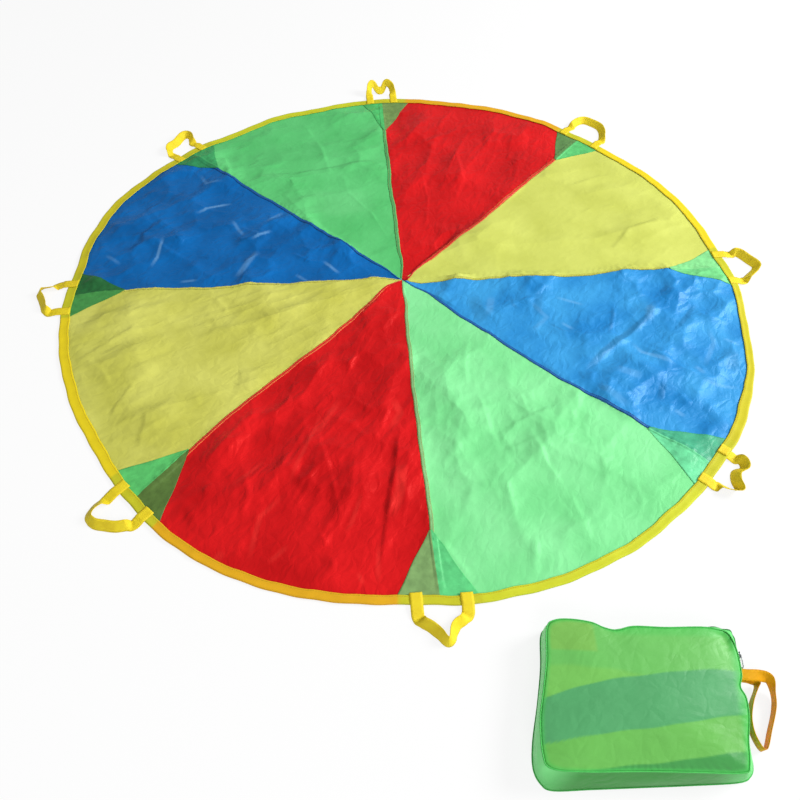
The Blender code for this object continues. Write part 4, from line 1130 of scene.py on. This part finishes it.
# A point on the bag's wall: direction from its middle, share of its height, distance off the cloth.
def wallPoint(angle, level, off=0.0):
    angle, level = np.asarray(angle, dtype=float), np.asarray(level, dtype=float)
    foot = np.interp(angle, bagAngles, footReach, period=math.tau)
    top = np.interp(angle, bagAngles, topReach, period=math.tau)
    farRight = np.exp(-((angle - 0.56) / 0.17) ** 2)
    slack = 0.0032 * np.sin(level * math.pi) * (1 - 0.6 * np.abs(np.sin(angle * 2)))
    past = eased((angle - 0.49) / 0.06)
    ripples = 0.0008 * past * np.sin(angle * 38 + 4 * level) * np.abs(np.sin(angle * 2)) ** 6
    gathers = (0.0022 * farRight * past * np.sin(angle * 64 + level * 5) + ripples) * np.sin(level * math.pi)
    # the zip runs straight and upright beside its slider, and the far right corner bulges past it
    bulge = np.interp(angle, zipSide["angles"], zipSide["out"]) * 0.001 * np.sin(level * math.pi)
    upright = 0.010 * (level - 0.5) * np.exp(-((level - 0.5) / 0.22) ** 2) \
        * eased((angle - 0.28) / 0.08) * eased((0.62 - angle) / 0.1)
    reach = foot + (top - foot) * level + slack + gathers + bulge + upright + off
    cx, cy = bagOutline["centre"]
    height = bagOutline["low"] + (bagOutline["high"] - bagOutline["low"]) * level
    return np.stack([cx + reach * np.cos(angle), cy + reach * np.sin(angle), height + 0 * reach], -1)


# Height of the front over the bundle: its crown, the folds under it, and the puckers along the piping.
def frontHeight(x, y, inwards, angle):
    fold = Scatter(41)
    edge = 1 - inwards
    height = bagOutline["high"] + bagOutline["crown"] * (1 - edge ** 3)
    height = height + 0.0035 * fold.swell(x, y, 0.09) * eased(inwards * 4)
    height = height + 0.030 * fold.bowls(x * 0.7 + 3, y * 1.3, 0.06, 0.8) * 0.5 * eased(inwards * 3)
    # the far edge is drawn tight and puckers least
    slackness = (0.12 + 0.2 * eased((0.3 - np.sin(angle)) / 0.6)) * eased(inwards * 25)
    height = height + 0.0011 * slackness * np.sin(angle * 61 + 2.2 * np.sin(angle * 7)) * np.exp(-inwards / 0.07)
    height = height + 0.0008 * slackness * np.sin(angle * 97 + 1.4 * np.sin(angle * 11)) * np.exp(-inwards / 0.05)
    # edges of the folded layers under the cloth
    xm, ym = x * 1000, y * 1000
    for level, share in (((ym + 1011 + 0.000448 * (571 - xm) ** 2), -1), ((ym + 1128 - 0.1395 * (xm - 240)), 1),
                         ((ym + 1175 - 0.117 * (xm - 240)), -1)):
        height = height + share * 0.0009 * (eased((level + 5) / 10) - 0.5) * eased(inwards * 6)
    # deep creases where the zip's end gathers the far right corner
    gather = np.exp(-((angle - 0.53) / 0.09) ** 2) * np.exp(-((inwards - 0.06) / 0.05) ** 2)
    for place, share in ((0.44, 0.7), (0.50, 1.0), (0.57, 0.8)):
        gather = gather + share * np.exp(-((angle - place - 0.25 * inwards) / 0.010) ** 2) * np.exp(-inwards / 0.10) \
            * eased(inwards * 30) * 0.7
    return height - 0.0040 * gather


# The wall tints left and near are painted light and painted shade: the left wall lighter, the near wall darker.
bagTints = {"lime": "#76BF57", "upper": "#6ABC5C", "block": "#7AB853", "teal": "#53A467", "band": "#69B753",
            "low": "#43984B", "edge": "#49BF54", "wall": "#5CD368", "left": "#86F592", "near": "#3F9A41",
            "piping": "#4EBE59"}


# Tints of the folded canopy as they show through the front, painted point by point.
def frontTints(x, y, inwards, angle):
    xm, ym = x * 1000, y * 1000
    colour = {key: np.array(linearColour(value)) for key, value in bagTints.items()}
    wander = 2.0 * np.sin(xm / 31) + 1.2 * np.sin(xm / 13 + 1)

    def layer(under, tint, share):
        return under * (1 - share[..., None]) + tint * share[..., None]

    paint = np.ones(x.shape + (4,)) * colour["upper"]
    paint = layer(paint, colour["lime"], eased((ym + 1004 + wander + 0.1 * (xm - 300)) / -10) * 0.8)
    block = eased((349 - xm) / 5) * eased((ym + 984 + 0.05 * (xm - 270)) / 6) * eased((xm - 262) / 8)
    paint = layer(paint, colour["block"], block * 0.9)
    paint = layer(paint, colour["edge"], eased((xm - 355) / 60) * eased((ym + 960) / 12) * 0.5)
    tealTop = ym + 1011 + 0.000448 * (571 - xm) ** 2 + 0.5 * wander
    paint = layer(paint, colour["teal"], eased(-tealTop / 3))
    bandTop = ym + 1128 - 0.1395 * (xm - 240) + 0.5 * wander
    paint = layer(paint, colour["band"], eased(-bandTop / 3))
    lowTop = ym + 1175 - 0.117 * (xm - 240) + 0.5 * wander
    paint = layer(paint, colour["low"], eased(-lowTop / 3))
    rightEdge = eased((xm - 566 - 0.12 * (ym + 1055)) / 14)
    paint = layer(paint, colour["edge"], rightEdge * 0.6)
    paint = layer(paint, colour["edge"], eased((0.05 - inwards) / 0.05) * 0.75)
    return paint


# Sheer polyester bag cloth, painted with what shows through it; soft gloss, fine plain weave.
def bagCloth(name, gloss=0.42):
    made = taffeta(name, "#54CC60", "#4CC259", gloss, 0.45)
    tree = made.node_tree
    shader = tree.nodes["Principled BSDF"]
    tint = addNode(tree, "Attribute", {"attribute_name": "tint"})
    spots = addNode(tree, "TexCoord").outputs["Object"]
    cloud = addNode(tree, "TexNoise", {"Scale": 22.0, "Detail": 4.0}, {"Vector": spots})
    tone = addNode(tree, "MapRange", {"To Min": 0.88, "To Max": 1.08}, {"Value": cloud.outputs["Fac"]})
    shaded = addNode(tree, "MixRGB", {"blend_type": "MULTIPLY", "Fac": 1.0},
                     {"Color1": tint.outputs["Color"], "Color2": tone.outputs["Result"]})
    tree.links.new(shaded.outputs[0], shader.inputs["Base Color"])
    return made


bagFinish = bagCloth("sheerBagCloth")
bagSheet = {"front": 0.0006, "gusset": 0.0006, "back": 0.0005, "inset": 0.0008}
piping = {"radius": 0.0012, "frontLevel": 0.0511, "standOff": 0.0006, "sides": 12}


def makeFront():
    rings, steps = bagOutline["rings"], bagOutline["steps"]
    cx, cy = bagOutline["centre"]
    inwards = np.linspace(0, 1, rings + 1)[:-1, None]
    reach = (topReach[None, :] - bagSheet["inset"]) * (1 - inwards)
    x, y = cx + reach * np.cos(bagAngles)[None, :], cy + reach * np.sin(bagAngles)[None, :]
    angle = bagAngles[None, :] + 0 * inwards
    z = frontHeight(x, y, inwards + 0 * x, angle)
    points = np.stack([x, y, z], -1).reshape(-1, 3)
    centre = np.array([[cx, cy, float(z[-1].mean())]])
    faces = [tuple(f) for f in gridFaces(rings, steps, joinColumns=True)[:, ::-1]]
    last = (rings - 1) * steps
    faces += [(last + i, last + (i + 1) % steps, rings * steps) for i in range(steps)]
    points = np.vstack([points, centre])
    paint = frontTints(x, y, inwards + 0 * x, angle).reshape(-1, 4)
    paint = np.vstack([paint, paint[-1:]])
    front = meshPiece("bag_front", points, faces, points[:, :2], bagFinish)
    paintPoints(front, paint)
    thicken(front, bagSheet["front"])
    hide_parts("bag_front_panel")
    return front


def makeWall():
    levels = np.linspace(0, 1, 23)[:, None]
    angles = bagAngles[None, :]
    points = wallPoint(angles + 0 * levels, levels + 0 * angles)
    colour = {key: np.array(linearColour(value)) for key, value in bagTints.items()}
    # painted shade on the near wall and painted light on the left wall
    near = eased((-np.sin(angles) - 0.25) / 0.2) * eased((0.86 - np.abs(np.cos(angles + 0.05))) / 0.2) + 0 * levels
    left = eased((-np.cos(angles) - 0.5) / 0.2)[..., None]
    paint = colour["wall"] * (1 - left) + colour["left"] * left
    paint = paint * (1 - near[..., None]) + colour["near"] * near[..., None]
    uv = np.stack([angles * 0.18 + 0 * levels, levels * 0.049 + 0 * angles], -1)
    faces = gridFaces(len(levels), bagAngles.size, joinColumns=True)[:, ::-1]
    wall = meshPiece("bag_wall", points.reshape(-1, 3), faces, uv.reshape(-1, 2), bagFinish)
    paintPoints(wall, paint.reshape(-1, 4))
    thicken(wall, bagSheet["gusset"], -1.0)
    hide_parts("bag_gusset")
    return wall


def makeBack():
    rings = 12
    cx, cy = bagOutline["centre"]
    inwards = np.linspace(0, 1, rings + 1)[:-1, None]
    reach = (footReach[None, :] - bagSheet["inset"]) * (1 - inwards)
    x, y = cx + reach * np.cos(bagAngles)[None, :], cy + reach * np.sin(bagAngles)[None, :]
    z = 0.0002 + 0.0009 * eased(1 - inwards / 0.05) + 0 * x
    points = np.vstack([np.stack([x, y, z], -1).reshape(-1, 3), [[cx, cy, 0.0002]]])
    steps = bagAngles.size
    faces = [tuple(f) for f in gridFaces(rings, steps, joinColumns=True)]
    last = (rings - 1) * steps
    faces += [(last + (i + 1) % steps, last + i, rings * steps) for i in range(steps)]
    back = meshPiece("bag_back", points, faces, points[:, :2], bagFinish)
    paintPoints(back, np.tile(linearColour(bagTints["wall"]), (len(points), 1)))
    thicken(back, bagSheet["back"], -1.0)
    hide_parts("bag_back_panel")
    return back


# Piping: a cord in a bias strip of the bag's cloth, as a ring of twelve-sided tube with its stitched pinch.
def makePiping(name, level, node):
    steps, sides, radius = bagAngles.size, piping["sides"], piping["radius"]
    spine = wallPoint(bagAngles, np.full(steps, float(level)), piping["standOff"])
    spine[:, 2] = piping["frontLevel"] + radius if level else radius
    ahead = np.roll(spine, -1, axis=0) - np.roll(spine, 1, axis=0)
    ahead /= np.linalg.norm(ahead, axis=1)[:, None]
    outward = np.cross(ahead, [0, 0, 1.0])[:, None, :]
    turn = np.linspace(0, math.tau, sides, endpoint=False)
    swell = radius * (1 + 0.06 * np.sin(np.arange(steps) * 2.4))[:, None, None]
    ring = (outward * np.cos(turn)[None, :, None] + np.array([0, 0, 1.0]) * np.sin(turn)[None, :, None]) * swell
    points = (spine[:, None, :] + ring).reshape(-1, 3)
    uv = np.stack([np.tile(turn * radius, steps), np.repeat(np.arange(steps) * 0.003, sides)], -1)
    cord = meshPiece(name, points, gridFaces(steps, sides, joinRows=True, joinColumns=True), uv, bagFinish)
    paintPoints(cord, np.tile(linearColour(bagTints["piping"]), (len(points), 1)))
    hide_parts(node)
    return cord


# The folded canopy inside: a soft stack of layers, seen only as tints through the front.
def makeBundle():
    levels = np.linspace(0, 1, 40)[:, None]
    angles = bagAngles[::3][None, :]
    layered = 0.0014 * np.sin(levels * math.tau * 9)
    rounding = 0.012 * (2 * levels - 1) ** 6
    walls = wallPoint(angles + 0 * levels, 0.06 + 0.86 * levels + 0 * angles, -0.007)
    cx, cy = bagOutline["centre"]
    out = walls[..., :2] - np.array([cx, cy])
    reach = np.linalg.norm(out, axis=-1, keepdims=True)
    walls[..., :2] = np.array([cx, cy]) + out / reach * (reach + (layered - rounding)[..., None])
    steps = angles.size
    caps = []
    for ring, rise in ((walls[-1], 0.0042), (walls[0], -0.0022)):
        for share in (0.85, 0.6, 0.3):
            inner = np.array([cx, cy]) + (ring[:, :2] - np.array([cx, cy])) * share
            caps.append(np.column_stack([inner, ring[:, 2] + rise * (1 - share ** 3)]))
    rows = [caps[5], caps[4], caps[3]] + list(walls) + [caps[0], caps[1], caps[2]]
    points = np.vstack(rows + [[[cx, cy, caps[5][0, 2] - 0.0001]], [[cx, cy, caps[2][0, 2] + 0.0001]]])
    count = len(rows)
    faces = [tuple(f) for f in gridFaces(count, steps, joinColumns=True)[:, ::-1]]
    faces += [((i + 1) % steps, i, count * steps) for i in range(steps)]
    last = (count - 1) * steps
    faces += [(last + i, last + (i + 1) % steps, count * steps + 1) for i in range(steps)]
    bundle = meshPiece("folded_canopy", points, faces, points[:, :2], bagFinish)
    paintPoints(bundle, np.tile(linearColour("#6FB98A"), (len(points), 1)))
    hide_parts("folded_parachute")
    return bundle


bagFront, bagWall, bagBack = makeFront(), makeWall(), makeBack()
frontPiping = makePiping("bag_front_piping_cord", 1, "bag_front_piping")
backPiping = makePiping("bag_back_piping_cord", 0, "bag_back_piping")
bundle = makeBundle()
for piece, slotName in ((bagFront, "bag_cloth"), (bagWall, "bag_cloth"), (bagBack, "bag_cloth"),
                        (frontPiping, "bag_piping"), (backPiping, "bag_piping"), (bundle, "folded_cloth")):
    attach(piece, "bag")
print("bag packed")


# The wrist strap: a satin ribbon sewn doubled into the right side

ribbon = {"width": 0.02, "thickness": 0.0011, "reach": 0.056, "drop": 0.115, "height": 0.029, "steps": 110}
# Outwards, along the side, height, and turn from flat in quarter turns, as shares.
ribbonRun = [
    (0.0, 0.0, 1.0, 0.0), (0.21, 0.0, 1.04, 0.0), (0.56, 0.01, 1.05, 0.12), (0.86, -0.02, 0.95, 0.6),
    (1.0, -0.17, 0.5, 1.0), (0.97, -0.39, 0.35, 1.0), (0.7, -0.72, 0.35, 1.0), (0.43, -1.0, 0.35, 1.0),
    (0.2, -0.84, 0.35, 1.0), (0.16, -0.61, 0.35, 1.0), (0.3, -0.36, 0.35, 1.0), (0.5, -0.16, 0.4, 1.0),
    (0.57, -0.07, 0.46, 1.15), (0.46, -0.03, 0.6, 1.5), (0.27, -0.025, 0.8, 1.85), (0.12, -0.025, 0.88, 2.0),
    (0.0, -0.025, 0.9, 2.0),
]
goldRibbon = ribbedWebbing("goldSatinRibbon", "#F0AC1C", "#DC9614", ribbon["width"] / 2)
goldShader = goldRibbon.node_tree.nodes["Principled BSDF"]
goldShader.inputs["Roughness"].default_value = 0.5
goldShader.inputs["Specular Tint"].default_value = linearColour("#FFD060")


def makeRibbon():
    points = [(out * ribbon["reach"], along * ribbon["drop"], height * ribbon["height"], turn)
              for out, along, height, turn in ribbonRun]
    run, length = smoothRun(points, ribbon["steps"])
    rolls = run[:, 3] * math.pi / 2
    resting = (ribbon["width"] * np.sin(rolls) + ribbon["thickness"] * np.abs(np.cos(rolls))) / 2
    run[:, 2] = np.maximum(run[:, 2], resting) - ribbon["height"]
    outwards = np.array([1.0, 0, 0])
    ways = planWays(run, outwards, -outwards)
    # both ends run on into the seam, one on the other
    lead = np.array([[-0.0036, 0, 0, 0], [-0.0022, 0, 0, 0], [-0.0009, 0, 0, 0]])
    tail = lead[::-1].copy()
    tail[:, 1], tail[:, 2] = run[-1, 1], run[-1, 2]
    whole = np.vstack([lead, run, tail])
    allWays = np.vstack([np.tile(outwards, (3, 1)), ways, np.tile(-outwards, (3, 1))])
    allRolls = np.concatenate([np.zeros(3), rolls, np.full(3, math.pi)])
    piece = strapPiece("wrist_ribbon", whole, allWays, allRolls, ribbon["width"], ribbon["thickness"], goldRibbon,
                       sidePlace["root"], sidePlace["turn"])
    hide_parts("wrist_strap", "wrist_strap_sewn_end")
    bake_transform(piece)


makeRibbon()
print("ribbon sewn")


# The zip: a tape with a coil down its middle, from beside the ribbon, round the corner and along the far side

zipper = {"start": 0.30, "end": 2.36, "tape": 0.0005, "tapeHalf": 0.21, "coilHalf": 0.003, "tooth": 0.0018,
          "slider": (0.607005, -0.978467, 0.0275), "hinge": (0.609591, -0.978729, 0.0275), "turn": 1.470056,
          "bowRadius": 0.0023, "bowWire": 0.00042, "bowOut": 0.0019, "bowLong": 2.2,
          "pullLength": 0.022, "pullWidth": 0.009, "wire": 0.0008}
# The slider's two plates and the post between them: size along the zip, inwards and up, then place and rounding.
sliderParts = [((0.0100, 0.0009, 0.0080), (0, 0.0010, 0), 0.0003), ((0.0115, 0.0010, 0.0088), (0, -0.0009, 0), 0.00035),
               ((0.0030, 0.0016, 0.0028), (0.0028, 0.0001, 0), 0.0002)]


# Woven zip tape, in the bag's green: herringbone, drawn at 2 mm where the real one is 0.8 mm.
def zipTapeCloth():
    made = taffeta("greenZipTape", "#3FA651", "#37974A", 0.6, 0.2, 0.2)
    tree = made.node_tree
    shader = tree.nodes["Principled BSDF"]
    uv = addNode(tree, "UVMap", {"uv_map": "cloth"})
    ribs = addNode(tree, "TexWave", {"Scale": 157.0, "bands_direction": "DIAGONAL"}, {"Vector": uv.outputs[0]})
    bump = addNode(tree, "Bump", {"Strength": 0.4, "Distance": 0.0004}, {"Height": ribs.outputs["Fac"]})
    tree.links.new(bump.outputs[0], shader.inputs["Normal"])
    return made


# Moulded nylon coil: hard and smooth, with soft scuffs.
def coilNylon():
    made, tree, shader = newMaterial("greenNylonCoil")
    spots = addNode(tree, "TexCoord").outputs["Object"]
    scuffs = addNode(tree, "TexNoise", {"Scale": 240.0, "Detail": 5.0}, {"Vector": spots})
    tone = addNode(tree, "MixRGB", {"Color1": linearColour("#2F8F45"), "Color2": linearColour("#43AE58")},
                   {"Fac": scuffs.outputs["Fac"]})
    rough = addNode(tree, "MapRange", {"To Min": 0.28, "To Max": 0.5}, {"Value": scuffs.outputs["Fac"]})
    tree.links.new(tone.outputs[0], shader.inputs["Base Color"])
    tree.links.new(rough.outputs["Result"], shader.inputs["Roughness"])
    return made


# Dark nickel plate over cast zinc: fine scratches, duller where fingers rub it.
def darkNickel():
    made, tree, shader = newMaterial("darkNickelPlate")
    shader.inputs["Metallic"].default_value = 1.0
    spots = addNode(tree, "TexCoord").outputs["Object"]
    wear = addNode(tree, "TexNoise", {"Scale": 300.0, "Detail": 6.0}, {"Vector": spots})
    tone = addNode(tree, "MixRGB", {"Color1": linearColour("#6A6A70"), "Color2": linearColour("#8E8C92")},
                   {"Fac": wear.outputs["Fac"]})
    rough = addNode(tree, "MapRange", {"To Min": 0.24, "To Max": 0.48}, {"Value": wear.outputs["Fac"]})
    scratch = addNode(tree, "TexNoise", {"Scale": 900.0, "Detail": 2.0}, {"Vector": spots})
    bump = addNode(tree, "Bump", {"Strength": 0.15, "Distance": 0.0001}, {"Height": scratch.outputs["Fac"]})
    tree.links.new(tone.outputs[0], shader.inputs["Base Color"])
    tree.links.new(rough.outputs["Result"], shader.inputs["Roughness"])
    tree.links.new(bump.outputs[0], shader.inputs["Normal"])
    return made


def makeZip():
    angles = np.linspace(zipper["start"], zipper["end"], 220)[:, None]
    levels = 0.5 + np.linspace(-1, 1, 9)[None, :] * zipper["tapeHalf"]
    points = wallPoint(angles + 0 * levels, levels + 0 * angles, 0.0008)
    middle = points[:, 4]
    gone = np.concatenate([[0], np.cumsum(np.linalg.norm(np.diff(middle, axis=0), axis=1))])
    uv = np.stack([(levels - 0.5) * 0.049 + 0 * angles, gone[:, None] + 0 * levels], -1)
    faces = gridFaces(len(angles), 9)
    band = meshPiece("zip_tape_woven", points.reshape(-1, 3), faces, uv.reshape(-1, 2), zipTapeCloth())
    thicken(band, zipper["tape"], -1.0)
    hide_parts("zip_tape")

    # four rows of points to each turn of the coil, which stands high and drops between turns
    rows = int(gone[-1] / zipper["tooth"] * 4)
    fine = np.interp(np.linspace(0, gone[-1], rows), gone, angles[:, 0])
    spine = wallPoint(fine, np.full(rows, 0.5), 0.0015)
    ahead = np.gradient(spine, axis=0)
    ahead /= np.linalg.norm(ahead, axis=1)[:, None]
    outward = np.cross(ahead, [0, 0, 1.0])
    around = np.linspace(0, math.tau, 10, endpoint=False)
    tooth = np.array([1.0, 0.85, 0.42, 0.85])[np.arange(rows) % 4][:, None]
    wide = zipper["coilHalf"] * np.sin(around)[None, :] * (0.9 + 0.1 * tooth)
    high = 0.0008 * np.cos(around)[None, :] * tooth
    ring = spine[:, None, :] + outward[:, None, :] * high[..., None] + np.array([0, 0, 1.0]) * wide[..., None]
    faces = [tuple(f) for f in gridFaces(rows, 10, joinColumns=True)[:, ::-1]]
    faces += [tuple(range(10)), tuple(range(rows * 10 - 1, rows * 10 - 11, -1))]
    coil = meshPiece("zip_coil_turns", ring.reshape(-1, 3), faces, None, coilNylon())
    turnOutwards(coil)
    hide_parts("zip_coil")
    for piece in (band, coil):
        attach(piece, "bag")


# Moves a piece made about its own middle to its place on the bag's side, and leaves the object itself unturned.
def settle(piece, place):
    piece.data.transform(Matrix.Translation(place) @ Matrix.Rotation(zipper["turn"], 4, "Z"))
    piece.matrix_world = Matrix.Identity(4)


def addPlate(size, place, bevel):
    bpy.ops.mesh.primitive_cube_add(size=1, location=(0, 0, 0))
    plate = bpy.context.object
    plate.data.transform(Matrix.Translation(place) @ Matrix.Diagonal(Vector(size + (1,))))
    edges = plate.modifiers.new("edges", "BEVEL")
    edges.width = bevel
    edges.segments = 3
    applyModifiers(plate)
    return plate


def joinSolid(base, other):
    cut = base.modifiers.new("join", "BOOLEAN")
    cut.operation = "UNION"
    cut.solver = "EXACT"
    cut.object = other
    applyModifiers(base)
    bpy.data.objects.remove(other, do_unlink=True)


def makeSlider():
    metal = darkNickel()
    slider = addPlate(*sliderParts[0])
    for details in sliderParts[1:]:
        joinSolid(slider, addPlate(*details))
    bpy.ops.mesh.primitive_torus_add(major_radius=zipper["bowRadius"], minor_radius=zipper["bowWire"],
                                     major_segments=40, minor_segments=12, location=(0, 0, 0))
    bow = bpy.context.object
    bow.data.transform(Matrix.Translation((0, -zipper["bowOut"], 0)) @ Matrix.Diagonal((1, 1, zipper["bowLong"], 1)))
    joinSolid(slider, bow)
    slider.name = slider.data.name = "zip_slider_body"
    slider.data.materials.append(metal)
    settle(slider, Vector(zipper["slider"]))
    selectOnly(slider)
    bpy.ops.object.shade_smooth_by_angle(angle=math.radians(35))
    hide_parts("zip_slider")
    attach(slider, "slider")

    # the pull is bent wire, a long ring that hangs on the bow and lies back beside the ribbon
    half = zipper["pullWidth"] / 2
    run = zipper["pullLength"] / 2 - half
    points = []
    for step in range(64):
        angle = math.tau * step / 64
        shift = run if math.cos(angle) > 0 else -run
        pinch = 1 - 0.18 * eased((shift + half * math.cos(angle) + run) / (2 * run + half))
        points.append((shift + half * math.cos(angle) - run - half, 0, half * math.sin(angle) * pinch))
    line = bpy.data.curves.new("pull line", "CURVE")
    line.dimensions = "3D"
    line.bevel_depth = zipper["wire"]
    line.bevel_resolution = 4
    spline = line.splines.new("POLY")
    spline.points.add(len(points) - 1)
    for seat, spot in zip(spline.points, points):
        seat.co = (*spot, 1)
    spline.use_cyclic_u = True
    wire = bpy.data.objects.new("zip_pull_wire", line)
    bpy.context.scene.collection.objects.link(wire)
    selectOnly(wire)
    bpy.ops.object.convert(target="MESH")
    pull = bpy.context.object
    pull.name = pull.data.name = "zip_pull_wire"
    settle(pull, Vector(zipper["hinge"]))
    pull.data.materials.clear()
    pull.data.materials.append(metal)
    bpy.ops.object.shade_smooth()
    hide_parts("zip_pull")
    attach(pull, "pull")


makeZip()
makeSlider()
print("zip fitted")


# Each patch's reach, shifted by the rim's sway at its seam, less the hem

for number, piece in enumerate(patches):
    reach, clockwise, anticlockwise = patchCuts[number]
    reach = reach + float(rimOffset(seamAngle(number, 0.9))) - canopy["hem"]



bpy.context.view_layer.update()
